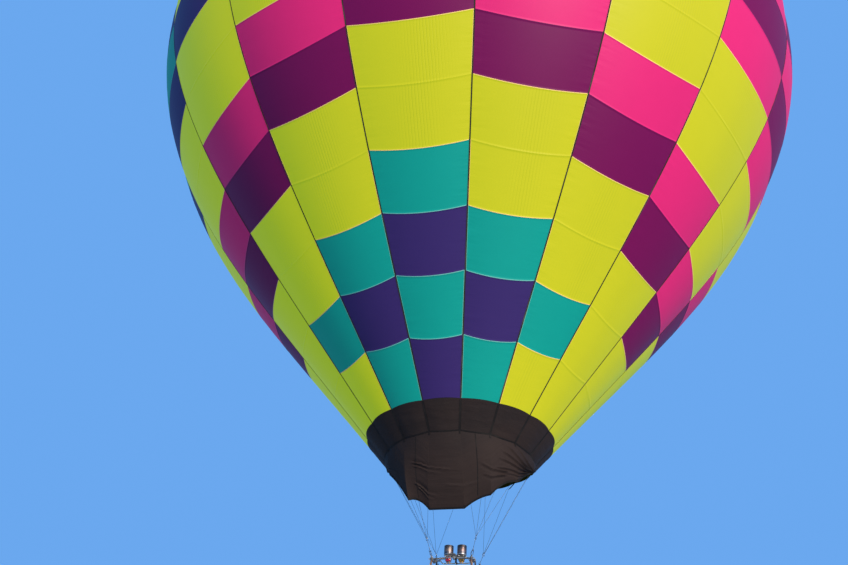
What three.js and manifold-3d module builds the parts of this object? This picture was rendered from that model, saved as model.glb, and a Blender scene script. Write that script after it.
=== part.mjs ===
// Hot air balloon with a sixteen gore envelope, a scoop, a twin burner on gimbals and a wicker basket.
// Units are millimetres and +Z is up. The origin is on the envelope's axis at its widest height.
// The front, where the scoop hangs, faces -Y. An azimuth of 0 points to the front and grows towards +X.
import * as THREE from 'three';
import { mergeVertices } from 'three/addons/utils/BufferGeometryUtils.js';
import Module from 'manifold-3d';

const wasm = await Module();
wasm.setup();

const degrees = Math.PI / 180;

// Fits
const GAP = 0.35;
const PIN_CLEARANCE = 0.5;

// Envelope
const GORE_COUNT = 16;
const GORE_ANGLE = 360 * degrees / GORE_COUNT;
const GORE_COLUMNS = 4;
const ROW_LENGTH = 1450;
const GORE_ROWS = 17;
const FABRIC = 10;
const RING_RADIUS = 2262;
const RING_HEIGHT = -11958;
const RING_SLOPE = 39.53 * degrees;
const NEUTRAL_HEIGHT = RING_HEIGHT + 1771;
const TURN_RATE = 1.5098e-12;
const BULGE = 0.07;
const MARCH_STEP = 10;

// Mouth and scoop
const MOUTH_HEIGHT = -12533;
const MOUTH_RADIUS = RING_RADIUS - (RING_HEIGHT - MOUTH_HEIGHT) * Math.tan(RING_SLOPE);
const SCOOP_BILLOW = 60;
const SCOOP_SCALLOP = 55;
const SCOOP_ROWS = 4;

// Tapes and crown
const TAPE_WIDTH = 50;
const TAPE_THICKNESS = 4;
const MOUTH_TAPE_THICKNESS = 6;
const MOUTH_TAPE_ROWS = 0.08;
const CROWN_RADIUS = 150;
const CROWN_BORE = 125;
const CROWN_THICKNESS = 24;
const VENT_OVERLAP_ROWS = 0.2;

// Burner frame
const FRAME_HALF_X = 450;
const FRAME_HALF_Y = 400;
const FRAME_CORNER_HEIGHT = -15000;
const FRAME_TUBE = 19;
const FRAME_BEND = 70;
const PIVOT_HEIGHT = -14900;
const CORNER_BOSS_RADIUS = 30;
const CORNER_BOSS_TOP = FRAME_CORNER_HEIGHT + 34;
const CORNER_BOSS_BOTTOM = FRAME_CORNER_HEIGHT - 34;
const LUG_THICKNESS = 12;
const LUG_HOLE = 11;
const LUG_REACH = 42;
const LUG_TIP = 8;
const LUG_WIDTH = 44;
const LUG_ROOT = 20;
const TETHER_LUG = 70;
const TETHER_HOLE = 50;
const PIVOT_BOSS = { thickness: 40, width: 60, height: 56 };
const PIVOT_STRAIGHT = 60;
const PIVOT_RAMP = 130;
const RAMP_FOOT = 25;

// Gimbal
const GIMBAL_HALF_X = 330;
const GIMBAL_HALF_Y = 190;
const GIMBAL_TUBE = 12;
const GIMBAL_BEND = 60;
const PIN_RADIUS = 8;
const PIN_REACH = 22;
const COLLAR_END = FRAME_HALF_X - 30;
const GIMBAL_BOSS = { length: 40, width: 34, height: 40 };

// Karabiners and flying wires
const KARABINER_HALF_WIDTH = 26;
const KARABINER_HALF_LENGTH = 54;
const KARABINER_BAR = 6;
const KARABINER_STEPS = 5;
const LINK_RADIUS = 24;
const LINK_BAR = 5;
const STROP_LENGTH = 210;
const WIRE_RADIUS = 3;
const HEXAGON_FLAT = Math.cos(Math.PI / 6);

// Burners
const BURNER_SPACING = 305;
const CAN_RADIUS = 108;
const CAN_BOTTOM = -14783;
const CAN_TOP = -14563;
const CAN_WALL = 4;
const COIL_RADIUS = 84;
const COIL_BAR = 12;
const COIL_TURNS = 4;
const CROSSBAR_HALF_X = 235;
const CROSSBAR_HALF_Y = 62;
const CROSSBAR_DEPTH = 24;
const HANGER_REACH = 112;
const HANGER_DEPTH = 12;
const HANGER_HALF_WIDTH = 22;
const VALVE_BODY = { x: 116, y: 96, z: 124 };
const LEVER = { height: 62, reach: 118, arm: 7, grip: 9, half: 45 };
const GAUGE = { radius: 30, depth: 22, height: 70 };
const INLET = { radius: 15, drop: 34, offset: 24 };

// Basket
const BASKET_HALF_X = 600;
const BASKET_HALF_Y = 525;
const BASKET_CORNER = 110;
const BASKET_WALL = 30;
const BASKET_BOTTOM = -16950;
const BASKET_TOP = -15868;
const RIM_RADIUS = 38;
const RIM_HEIGHT = BASKET_TOP + GAP + RIM_RADIUS * Math.cos(Math.PI / 8);
const RIM_TOP = RIM_HEIGHT + RIM_RADIUS * Math.cos(Math.PI / 8);
const FLOOR_THICKNESS = 18;
const FOOTHOLD = { width: 150, height: 110, spread: 250, low: 380, rise: 330 };
const BORDER_RADIUS = 20;
const HANDLE = { half: 110, reach: 52, radius: 13, spread: 300, height: -16180 };
const SKID = { half: 560, width: 70, depth: 50, offset: 330 };
const UPRIGHT_RADIUS = 26;
const UPRIGHT_FOOT = { x: 557, y: 482 };
const CYLINDER_RADIUS = 130;
const CYLINDER_CLEARANCE = 12;
// Columns: inset from the cylinder's radius, height above the floor
const CYLINDER_SHELL = [[15, 0], [0, 15], [0, 700], [25, 750], [30, 850], [34, 850], [34, 760]];
// Columns: radius, height above the floor
const CYLINDER_VALVE = [[28, 780], [28, 815], [0, 815]];

// Materials
function finish(color, roughness, metalness = 0) {
  return new THREE.MeshStandardMaterial({ color, roughness, metalness });
}
const limeFabric = finish(0xb9cc33, 0.6);
const ventFabric = finish(0x582058, 0.6);
const webbing = finish(0x3a4a20, 0.8);
const heatproofCloth = finish(0x2c2320, 0.85);
const aluminium = finish(0xb8bbbe, 0.4, 1);
const stainless = finish(0x9a9a98, 0.3, 1);
const steelWire = finish(0x6c6e70, 0.45, 1);
const darkSteel = finish(0x3b3b3d, 0.5, 0.8);
const crimsonPaint = finish(0x7a1428, 0.4, 0.2);
const brass = finish(0xa07a40, 0.4, 1);
const leather = finish(0x4b3020, 0.65);
const wicker = finish(0xa87a45, 0.75);
const plywood = finish(0x9c7748, 0.7);
const hardwood = finish(0x6b4a2b, 0.7);

const balloon = new THREE.Group();

function add(name, geometry, material) {
  const mesh = new THREE.Mesh(geometry, material);
  mesh.name = name;
  balloon.add(mesh);
  return mesh;
}

// Closed shapes
// One closed body from a three.js geometry: shared vertices merged, empty triangles left out, faces out.
function closed(source) {
  const loose = source.index ? source.toNonIndexed() : source.clone();
  loose.deleteAttribute('normal');
  if (loose.getAttribute('uv')) loose.deleteAttribute('uv');
  const merged = mergeVertices(loose, 1e-3);
  const place = merged.getAttribute('position');
  const corner = (i) => new THREE.Vector3().fromBufferAttribute(place, i);
  const kept = [];
  let volume = 0;
  for (let i = 0; i < merged.index.count; i += 3) {
    const [a, b, c] = [0, 1, 2].map((k) => merged.index.getX(i + k));
    if (a === b || b === c || c === a) continue;
    kept.push([a, b, c]);
    volume += corner(a).dot(corner(b).cross(corner(c)));
  }
  const order = volume < 0 ? kept.map(([a, b, c]) => [a, c, b]) : kept;
  merged.setIndex(order.flat());
  merged.computeVertexNormals();
  return merged;
}

// A closed body from a list of points and a list of triangles or quads.
function body(points, faces) {
  const geometry = new THREE.BufferGeometry();
  const places = points.flatMap((point) => point.toArray());
  geometry.setAttribute('position', new THREE.Float32BufferAttribute(places, 3));
  const triangles = faces.flatMap((f) => (f.length === 4 ? [f[0], f[1], f[2], f[0], f[2], f[3]] : f));
  geometry.setIndex(triangles);
  return closed(geometry);
}

// A wall between two like grids of points, outer[row][column] and inner[row][column].
// With wrap the last column joins the first, and the wall is a ring.
function wall(outer, inner, wrap = false) {
  const rows = outer.length;
  const columns = outer[0].length;
  const points = [...outer.flat(), ...inner.flat()];
  const at = (side, row, column) => side * rows * columns + row * columns + (column % columns);
  const faces = [];
  const lastColumn = wrap ? columns : columns - 1;
  for (let row = 0; row < rows - 1; row++) {
    for (let column = 0; column < lastColumn; column++) {
      const [next, above] = [column + 1, row + 1];
      faces.push([at(0, row, column), at(0, row, next), at(0, above, next), at(0, above, column)]);
      faces.push([at(1, row, column), at(1, above, column), at(1, above, next), at(1, row, next)]);
    }
  }
  for (let column = 0; column < lastColumn; column++) {
    faces.push([at(0, 0, column), at(1, 0, column), at(1, 0, column + 1), at(0, 0, column + 1)]);
    const top = rows - 1;
    faces.push([at(0, top, column), at(0, top, column + 1), at(1, top, column + 1), at(1, top, column)]);
  }
  if (!wrap) {
    const last = columns - 1;
    for (let row = 0; row < rows - 1; row++) {
      faces.push([at(0, row, 0), at(0, row + 1, 0), at(1, row + 1, 0), at(1, row, 0)]);
      faces.push([at(0, row, last), at(1, row, last), at(1, row + 1, last), at(0, row + 1, last)]);
    }
  }
  return body(points, faces);
}

// A point on a circle in the plane of two directions.
function onCircle(centre, across, up, radius, angle) {
  const point = centre.clone().addScaledVector(across, radius * Math.cos(angle));
  return point.addScaledVector(up, radius * Math.sin(angle));
}

// A bar of round section along a closed loop of points, with its section turned by a fixed side direction.
function loopBar(points, radius, sides, sideways) {
  const rings = points.map((point, i) => {
    const before = points[(i + points.length - 1) % points.length];
    const after = points[(i + 1) % points.length];
    const along = after.clone().sub(before).normalize();
    const across = sideways.clone().cross(along).normalize();
    const up = along.clone().cross(across).normalize();
    return Array.from({ length: sides }, (unused, k) => {
      return onCircle(point, across, up, radius, 2 * Math.PI * (k + 0.5) / sides);
    });
  });
  const faces = [];
  const at = (ring, k) => (ring % rings.length) * sides + (k % sides);
  for (let ring = 0; ring < rings.length; ring++) {
    for (let k = 0; k < sides; k++) {
      faces.push([at(ring, k), at(ring + 1, k), at(ring + 1, k + 1), at(ring, k + 1)]);
    }
  }
  return body(rings.flat(), faces);
}

function rod(from, to, radius, sides) {
  const axis = to.clone().sub(from);
  const geometry = new THREE.CylinderGeometry(radius, radius, axis.length(), sides);
  const upright = new THREE.Vector3(0, 1, 0);
  geometry.applyQuaternion(new THREE.Quaternion().setFromUnitVectors(upright, axis.clone().normalize()));
  geometry.translate(...from.clone().add(to).multiplyScalar(0.5).toArray());
  return closed(geometry);
}

// A leaning pole with level ends.
function pole(from, to, radius, sides) {
  const rise = to.z - from.z;
  const geometry = new THREE.CylinderGeometry(radius, radius, rise, sides);
  geometry.rotateX(90 * degrees);
  const lean = new THREE.Matrix4().makeShear(0, 0, 0, 0, (to.x - from.x) / rise, (to.y - from.y) / rise);
  geometry.applyMatrix4(lean);
  geometry.translate(...from.clone().add(to).multiplyScalar(0.5).toArray());
  return closed(geometry);
}

// A box from its lowest to its highest corner.
function box(low, high) {
  const geometry = new THREE.BoxGeometry(high[0] - low[0], high[1] - low[1], high[2] - low[2]);
  geometry.translate((low[0] + high[0]) / 2, (low[1] + high[1]) / 2, (low[2] + high[2]) / 2);
  return closed(geometry);
}

// A box from its centre and its size.
function block(centre, size) {
  const geometry = new THREE.BoxGeometry(size.x, size.y, size.z);
  geometry.translate(centre.x, centre.y, centre.z);
  return closed(geometry);
}

// A turned shape about +Z from [radius, height] pairs that start and end on the axis or form a loop.
function turned(profile, segments, start = 0) {
  const outline = profile.map(([r, z]) => new THREE.Vector2(r, z));
  const geometry = new THREE.LatheGeometry(outline, segments, start);
  geometry.rotateX(90 * degrees);
  return closed(geometry);
}

// Joins and cuts
function toManifold(geometry) {
  const vertProperties = new Float32Array(geometry.getAttribute('position').array);
  const triVerts = new Uint32Array(geometry.index.array);
  return new wasm.Manifold(new wasm.Mesh({ numProp: 3, vertProperties, triVerts }));
}

function fromManifold(solid) {
  const mesh = solid.getMesh();
  const points = [];
  for (let i = 0; i < mesh.vertProperties.length; i += mesh.numProp) {
    points.push(new THREE.Vector3(...mesh.vertProperties.subarray(i, i + 3)));
  }
  const faces = [];
  for (let i = 0; i < mesh.triVerts.length; i += 3) faces.push([...mesh.triVerts.subarray(i, i + 3)]);
  return body(points, faces);
}

function joined(solids, cuts = []) {
  const whole = solids.map(toManifold).reduce((a, b) => a.add(b));
  return fromManifold(cuts.map(toManifold).reduce((a, b) => a.subtract(b), whole));
}

// Meridian of the load tapes
// The tapes take the natural shape: their slope turns with the radius and the height above a neutral level.
function marchMeridian() {
  const seams = [{ r: RING_RADIUS, z: RING_HEIGHT, slope: RING_SLOPE }];
  let { r, z, slope } = seams[0];
  let travelled = 0;
  while (r > CROWN_RADIUS) {
    slope -= TURN_RATE * r * (z - NEUTRAL_HEIGHT) * MARCH_STEP;
    r += Math.sin(slope) * MARCH_STEP;
    z += Math.cos(slope) * MARCH_STEP;
    travelled += MARCH_STEP;
    if (travelled % ROW_LENGTH === 0) seams.push({ r, z, slope });
  }
  seams.push({ r: CROWN_RADIUS, z, slope });
  return seams;
}
const seams = marchMeridian();
const mouth = { r: MOUTH_RADIUS, z: MOUTH_HEIGHT, slope: RING_SLOPE };
const stationCount = seams.length;

// Row 0 is the ring above the mouth panels, row -1 is the mouth, and the last row is the crown.
function station(row) {
  return row < 0 ? mouth : seams[row];
}

// The level direction that points out of the envelope at an azimuth.
function outwards(azimuth) {
  return new THREE.Vector3(Math.sin(azimuth), -Math.cos(azimuth), 0);
}

// A point at an azimuth, a row and a distance out of the tapes' surface. Rows in between lie on the chord.
function onTapeSurface(azimuth, row, out = 0) {
  const low = Math.floor(row);
  if (low !== row) {
    return onTapeSurface(azimuth, low, out).lerp(onTapeSurface(azimuth, low + 1, out), row - low);
  }
  const { r, z, slope } = station(row);
  const point = outwards(azimuth).multiplyScalar(r + out * Math.cos(slope));
  return point.setZ(z - out * Math.sin(slope));
}

// A point of a bulged gore: across runs from -1 at the left tape to 1 at the right tape.
function onGore(gore, row, across, out = 0) {
  const middle = gore * GORE_ANGLE;
  const left = onTapeSurface(middle - GORE_ANGLE / 2, row, out);
  const right = onTapeSurface(middle + GORE_ANGLE / 2, row, out);
  const chord = right.distanceTo(left);
  const toMiddle = right.clone().sub(left).normalize();
  const { slope } = station(row);
  const away = outwards(middle).multiplyScalar(Math.cos(slope)).setZ(-Math.sin(slope));
  const rise = BULGE * chord * (1 - across * across);
  const point = left.lerp(right, (across + 1) / 2).addScaledVector(away, rise);
  return point.addScaledVector(toMiddle, -Math.sign(across) * (Math.abs(across) === 1 ? GAP / 2 : 0));
}

function spread(count, from, to) {
  return Array.from({ length: count + 1 }, (unused, i) => from + (to - from) * i / count);
}

// Envelope
function gorePanel(gore) {
  const rows = spread(GORE_ROWS, 0, GORE_ROWS);
  const columns = spread(GORE_COLUMNS, -1, 1);
  const lift = (point, row) => (row === 0 ? point.setZ(point.z + GAP) : point);
  const outer = rows.map((row) => columns.map((across) => lift(onGore(gore, row, across), row)));
  const inner = rows.map((row) => columns.map((across) => lift(onGore(gore, row, across, -FABRIC), row)));
  return wall(outer, inner);
}

// A point round the mouth band and its tape: even columns lie on the load tapes, odd ones between them.
function onBand(column, row, out) {
  if (column % 2 !== 0) return onGore((column + 1) / 2, row, 0, out);
  return onTapeSurface((column / 2 + 0.5) * GORE_ANGLE, row, out);
}

function mouthBand() {
  const columns = spread(2 * GORE_COUNT - 1, 0, 2 * GORE_COUNT - 1);
  const grid = (out) => [-1, 0].map((row) => columns.map((column) => onBand(column, row, out)));
  return wall(grid(0), grid(-FABRIC), true);
}

// How far a flat tape stands off the seam so that its edges clear the bulged gores beside it.
function tapeStandOff(row) {
  const rise = 3 * BULGE - Math.tan(GORE_ANGLE / 2) * Math.cos(station(row).slope);
  return GAP + TAPE_WIDTH / 2 * Math.max(0, rise) + GAP;
}

function loadTape(index) {
  const azimuth = (index + 0.5) * GORE_ANGLE;
  const sideways = outwards(azimuth + 90 * degrees).multiplyScalar(TAPE_WIDTH / 2);
  const rows = spread(stationCount, -1, stationCount - 1);
  const edge = (row, side, extra) => {
    const point = onTapeSurface(azimuth, row, tapeStandOff(row) + extra);
    if (row === stationCount - 1) point.addScaledVector(outwards(azimuth), GAP);
    return point.addScaledVector(sideways, side);
  };
  const grid = (extra) => rows.map((row) => [edge(row, -1, extra), edge(row, 1, extra)]);
  return wall(grid(TAPE_THICKNESS), grid(0));
}

// The ring of tape round the mouth that the sixteen load tapes are sewn to.
function mouthTape() {
  const columns = spread(2 * GORE_COUNT - 1, 0, 2 * GORE_COUNT - 1);
  const point = (column, row, out) => onBand(column, -1, out).lerp(onBand(column, 0, out), row + 1);
  const edges = [-1, -1 + MOUTH_TAPE_ROWS];
  const grid = (out) => edges.map((row) => columns.map((column) => point(column, row, out)));
  return wall(grid(2 * GAP + MOUTH_TAPE_THICKNESS), grid(2 * GAP), true);
}

function crownRing() {
  const { z } = station(stationCount - 1);
  const middle = z + TAPE_THICKNESS;
  const [low, high] = [middle - CROWN_THICKNESS / 2, middle + CROWN_THICKNESS / 2];
  const outer = [[CROWN_RADIUS, low], [CROWN_RADIUS, high]];
  return turned([[CROWN_BORE, low], ...outer, [CROWN_BORE, high], [CROWN_BORE, low]], 2 * GORE_COUNT);
}

// The vent is a disc of fabric under the open top, wider than the opening by its overlap.
function parachuteVent() {
  const rim = GORE_ROWS - VENT_OVERLAP_ROWS;
  const rows = [rim, ...spread(stationCount - 2 - GORE_ROWS, GORE_ROWS, stationCount - 2)];
  const line = (out) => rows.map((row) => {
    const point = onTapeSurface(0, row, out);
    return [Math.hypot(point.x, point.y), point.z];
  });
  const top = line(-FABRIC - GAP);
  const under = line(-2 * FABRIC - GAP);
  const apexTop = [0, top[top.length - 1][1]];
  const apexUnder = [0, under[under.length - 1][1]];
  return turned([apexUnder, ...under.reverse(), ...top, apexTop], GORE_COUNT, GORE_ANGLE / 2);
}

for (let gore = 0; gore < GORE_COUNT; gore++) {
  add(`gore_${String(gore + 1).padStart(2, '0')}`, gorePanel(gore), limeFabric);
}
add('mouth_band', mouthBand(), heatproofCloth);
const tapes = Array.from({ length: GORE_COUNT }, (unused, index) => loadTape(index));
add('load_tapes', joined([...tapes, mouthTape()]), webbing);
add('crown_ring', crownRing(), aluminium);
add('parachute_vent', parachuteVent(), ventFabric);

// Scoop
// Lower corners of the scoop, seen from above: azimuth in degrees, radius, drop below the mouth.
const scoopCorners = [
  { azimuth: -101.25, radius: 1785, drop: 60 },
  { azimuth: -84, radius: 1770, drop: 220 },
  { azimuth: -66, radius: 1655, drop: 515 },
  { azimuth: -42.8, radius: 1360, drop: 1314 },
  { azimuth: -26, radius: 1020, drop: 1527 },
  { azimuth: 21.4, radius: 1000, drop: 1527 },
  { azimuth: 42.9, radius: 1420, drop: 1278 },
  { azimuth: 66, radius: 1665, drop: 820 },
  { azimuth: 88, radius: 1800, drop: 330 },
  { azimuth: 101.25, radius: 1785, drop: 60 },
];

// The scoop hangs from the mouth's edge: its columns follow the tapes and the middles of the gores.
function scoopCloth() {
  const columns = [];
  const polar = ({ azimuth, radius, drop }) => new THREE.Vector3(
    radius * Math.sin(azimuth * degrees), -radius * Math.cos(azimuth * degrees), MOUTH_HEIGHT - drop);
  scoopCorners.forEach((corner, i) => {
    const bandColumn = 2 * i - scoopCorners.length;
    columns.push({ bandColumn, hem: polar(corner) });
    const next = scoopCorners[i + 1];
    if (!next) return;
    const middle = polar(corner).lerp(polar(next), 0.5);
    middle.z += corner.drop === next.drop ? 0 : SCOOP_SCALLOP;
    columns.push({ bandColumn: bandColumn + 1, hem: middle });
  });
  const layer = (inset) => spread(SCOOP_ROWS, 0, 1).map((t) => columns.map(({ bandColumn, hem }) => {
    const away = new THREE.Vector3(hem.x, hem.y, 0).normalize();
    const end = hem.clone().addScaledVector(away, -inset);
    const point = onBand(bandColumn, -1, -inset).lerp(end, t);
    point.addScaledVector(away, SCOOP_BILLOW * 4 * t * (1 - t));
    return point.setZ(point.z - 2 * GAP * (1 - t));
  }));
  return wall(layer(0).reverse(), layer(FABRIC).reverse());
}
add('scoop', scoopCloth(), heatproofCloth);

// Burner frame corners
// Each corner carries a karabiner and the wires of four load tapes, counted from the front to the right.
const corners = [
  { name: 'front_right', x: 1, y: -1, firstTape: 0 },
  { name: 'back_right', x: 1, y: 1, firstTape: 4 },
  { name: 'back_left', x: -1, y: 1, firstTape: 8 },
  { name: 'front_left', x: -1, y: -1, firstTape: 12 },
];

function tapesOf(corner) {
  return spread(3, corner.firstTape, corner.firstTape + 3);
}

// Directions at a corner: up along the pull of the wires, around the frame, and out square to both.
function cornerAxes(corner) {
  const foot = new THREE.Vector3(corner.x * FRAME_HALF_X, corner.y * FRAME_HALF_Y, CORNER_BOSS_TOP);
  const pull = new THREE.Vector3();
  for (const tape of tapesOf(corner)) pull.add(wireTop(tape).sub(foot));
  pull.normalize();
  const around = new THREE.Vector3(-corner.y, corner.x, 0).normalize();
  const out = around.clone().cross(pull).normalize();
  const lugHole = foot.clone().addScaledVector(pull, LUG_REACH - LUG_HOLE - LUG_TIP);
  return { foot, pull, around: pull.clone().cross(out).normalize(), out, lugHole };
}

// The wires end against the inner face of the mouth's edge, one at each load tape.
function wireTop(tape) {
  return onTapeSurface((tape + 0.5) * GORE_ANGLE, -1, -FABRIC - 2 * GAP - WIRE_RADIUS);
}

function karabinerLoop({ pull, around, out, lugHole }) {
  const rest = LUG_HOLE * Math.cos(Math.PI / 12) - KARABINER_BAR * HEXAGON_FLAT - GAP;
  const bend = KARABINER_HALF_WIDTH;
  const straight = KARABINER_HALF_LENGTH - bend;
  const reach = straight + bend * Math.cos(Math.PI / (2 * KARABINER_STEPS));
  const centre = lugHole.clone().addScaledVector(pull, rest + reach);
  const points = [];
  for (const end of [1, -1]) {
    for (const turn of spread(KARABINER_STEPS, 0, 180)) {
      const angle = (turn + (end === 1 ? 0 : 180)) * degrees;
      points.push(centre.clone()
        .addScaledVector(around, bend * Math.cos(angle))
        .addScaledVector(pull, bend * Math.sin(angle) + end * straight));
    }
  }
  return { solid: loopBar(points, KARABINER_BAR, 6, out), top: centre.addScaledVector(pull, reach) };
}

// A strop stands on each karabiner, and four wires fan out from the link at its top.
function wireGroup(corner, { pull, around, out }, karabinerTop) {
  const bars = (LINK_BAR + KARABINER_BAR) * HEXAGON_FLAT + KARABINER_BAR / 2 * Math.tan(Math.PI / 12);
  const hold = LINK_RADIUS - bars - GAP;
  const rise = [hold, hold + 2 * LINK_RADIUS + STROP_LENGTH];
  const centres = rise.map((height) => karabinerTop.clone().addScaledVector(pull, height));
  const links = centres.map((centre) => {
    const points = spread(11, 0, 11).map((i) => onCircle(centre, out, pull, LINK_RADIUS, i * 30 * degrees));
    return loopBar(points, LINK_BAR, 6, around);
  });
  const [stropFoot, stropTop, knot] = [
    centres[0].clone().addScaledVector(pull, LINK_RADIUS),
    centres[1].clone().addScaledVector(pull, -LINK_RADIUS),
    centres[1].clone().addScaledVector(pull, LINK_RADIUS),
  ];
  const wires = tapesOf(corner).map((tape) => rod(knot, wireTop(tape), WIRE_RADIUS, 6));
  return joined([...links, rod(stropFoot, stropTop, LINK_BAR, 6), ...wires]);
}

const cornerLugs = [];
for (const corner of corners) {
  const axes = cornerAxes(corner);
  const { solid, top } = karabinerLoop(axes);
  add(`karabiner_${corner.name}`, solid, darkSteel);
  add(`flying_wires_${corner.name}`, wireGroup(corner, axes, top), steelWire);
  cornerLugs.push(axes);
}

// Burner frame
function roundedLoop(halfX, halfY, bend, steps, height) {
  const points = [];
  const turns = [[1, 1, 0], [-1, 1, 90], [-1, -1, 180], [1, -1, 270]];
  for (const [sideX, sideY, start] of turns) {
    for (const turn of spread(steps, start, start + 90)) {
      const x = sideX * (halfX - bend) + bend * Math.cos(turn * degrees);
      const y = sideY * (halfY - bend) + bend * Math.sin(turn * degrees);
      points.push(new THREE.Vector3(x, y, height));
    }
  }
  return points;
}

// The tube loop lies low at its corners and is bent up to the pivots in the middle of each side.
function frameLoop() {
  const raised = [];
  const rounded = roundedLoop(FRAME_HALF_X, FRAME_HALF_Y, FRAME_BEND, 2, FRAME_CORNER_HEIGHT);
  const perCorner = rounded.length / 4;
  const middles = [[0, FRAME_HALF_Y], [-FRAME_HALF_X, 0], [0, -FRAME_HALF_Y], [FRAME_HALF_X, 0]];
  middles.forEach(([x, y], side) => {
    raised.push(...rounded.slice(side * perCorner, (side + 1) * perCorner));
    const along = new THREE.Vector3(y, -x, 0).normalize().multiplyScalar(-1);
    for (const step of [-PIVOT_RAMP, -PIVOT_STRAIGHT, PIVOT_STRAIGHT, PIVOT_RAMP]) {
      const height = Math.abs(step) === PIVOT_STRAIGHT ? PIVOT_HEIGHT : FRAME_CORNER_HEIGHT + RAMP_FOOT;
      raised.push(new THREE.Vector3(x, y, height).addScaledVector(along, step));
    }
  });
  return raised;
}

// A hole through a boss for a pin, cut with the pin's clearance.
function pinHole(centre, reach) {
  return rod(centre.clone().sub(reach), centre.clone().add(reach), PIN_RADIUS + PIN_CLEARANCE, 16);
}

function burnerFrame() {
  const up = new THREE.Vector3(0, 0, 1);
  const parts = [loopBar(frameLoop(), FRAME_TUBE, 6, up)];
  const holes = [];
  corners.forEach((corner, i) => {
    const [x, y] = [corner.x * FRAME_HALF_X, corner.y * FRAME_HALF_Y];
    const bossFoot = new THREE.Vector3(x, y, CORNER_BOSS_BOTTOM);
    parts.push(rod(bossFoot, bossFoot.clone().setZ(CORNER_BOSS_TOP), CORNER_BOSS_RADIUS, 8));
    const { foot, pull, around, out, lugHole } = cornerLugs[i];
    const lug = new THREE.BoxGeometry(LUG_THICKNESS, LUG_WIDTH, LUG_REACH + LUG_ROOT);
    const basis = new THREE.Matrix4().makeBasis(around, out, pull);
    const middle = foot.clone().addScaledVector(pull, (LUG_REACH - LUG_ROOT) / 2);
    lug.applyMatrix4(basis.setPosition(middle));
    parts.push(closed(lug));
    const reach = around.clone().multiplyScalar(LUG_THICKNESS);
    holes.push(rod(lugHole.clone().sub(reach), lugHole.clone().add(reach), LUG_HOLE, 12));
    const tether = { x: x + corner.x * TETHER_LUG / 2, y, z: FRAME_CORNER_HEIGHT };
    parts.push(block(tether, { x: TETHER_LUG, y: LUG_THICKNESS, z: LUG_WIDTH }));
    const centre = new THREE.Vector3(x + corner.x * TETHER_HOLE, y, FRAME_CORNER_HEIGHT);
    const through = new THREE.Vector3(0, LUG_THICKNESS, 0);
    holes.push(rod(centre.clone().sub(through), centre.clone().add(through), LUG_HOLE, 8));
  });
  for (const side of [1, -1]) {
    const centre = new THREE.Vector3(side * FRAME_HALF_X, 0, PIVOT_HEIGHT);
    parts.push(block(centre, { x: PIVOT_BOSS.thickness, y: PIVOT_BOSS.width, z: PIVOT_BOSS.height }));
    holes.push(pinHole(centre, new THREE.Vector3(PIVOT_BOSS.thickness, 0, 0)));
  }
  return joined(parts, holes);
}
add('burner_frame', burnerFrame(), darkSteel);

// Gimbal ring, which tilts about the frame's pivots
function gimbalRing() {
  const up = new THREE.Vector3(0, 0, 1);
  const loop = roundedLoop(GIMBAL_HALF_X, GIMBAL_HALF_Y, GIMBAL_BEND, 2, PIVOT_HEIGHT);
  const parts = [loopBar(loop, GIMBAL_TUBE, 6, up)];
  const holes = [];
  for (const side of [1, -1]) {
    const pinStart = new THREE.Vector3(side * GIMBAL_HALF_X, 0, PIVOT_HEIGHT);
    const pinEnd = pinStart.clone().setX(side * (FRAME_HALF_X + PIN_REACH));
    parts.push(rod(pinStart, pinEnd, PIN_RADIUS, 12));
    parts.push(rod(pinStart, pinStart.clone().setX(side * COLLAR_END), 2 * PIN_RADIUS, 12));
    const centre = new THREE.Vector3(0, side * GIMBAL_HALF_Y, PIVOT_HEIGHT);
    parts.push(block(centre, { x: GIMBAL_BOSS.length, y: GIMBAL_BOSS.width, z: GIMBAL_BOSS.height }));
    holes.push(pinHole(centre, new THREE.Vector3(0, GIMBAL_BOSS.width, 0)));
  }
  return joined(parts, holes);
}
add('gimbal_ring', gimbalRing(), darkSteel);

// Burner, which tilts about the gimbal ring's pivots
function burnerCrossbar() {
  const top = CAN_BOTTOM - GAP;
  const bottom = top - CROSSBAR_DEPTH;
  const parts = [
    box([-CROSSBAR_HALF_X, -CROSSBAR_HALF_Y, bottom], [CROSSBAR_HALF_X, CROSSBAR_HALF_Y, top]),
    box([-HANGER_HALF_WIDTH, -HANGER_REACH, bottom], [HANGER_HALF_WIDTH, HANGER_REACH, top]),
  ];
  for (const side of [1, -1]) {
    const low = PIVOT_HEIGHT - HANGER_HALF_WIDTH;
    const centre = { x: 0, y: side * (HANGER_REACH - HANGER_DEPTH / 2), z: (low + top) / 2 };
    parts.push(block(centre, { x: 2 * HANGER_HALF_WIDTH, y: HANGER_DEPTH, z: top - low }));
    const pinStart = new THREE.Vector3(0, centre.y, PIVOT_HEIGHT);
    parts.push(rod(pinStart, pinStart.clone().setY(side * (GIMBAL_HALF_Y + PIN_REACH)), PIN_RADIUS, 12));
  }
  return joined(parts);
}

function burnerCan(x) {
  const inner = CAN_RADIUS - CAN_WALL;
  const floor = CAN_BOTTOM + CAN_WALL;
  const outside = [[0, CAN_BOTTOM], [CAN_RADIUS, CAN_BOTTOM], [CAN_RADIUS, CAN_TOP]];
  const inside = [[inner, CAN_TOP], [inner, floor], [0, floor]];
  return turned([...outside, ...inside], 20).translate(x, 0, 0);
}

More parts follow.
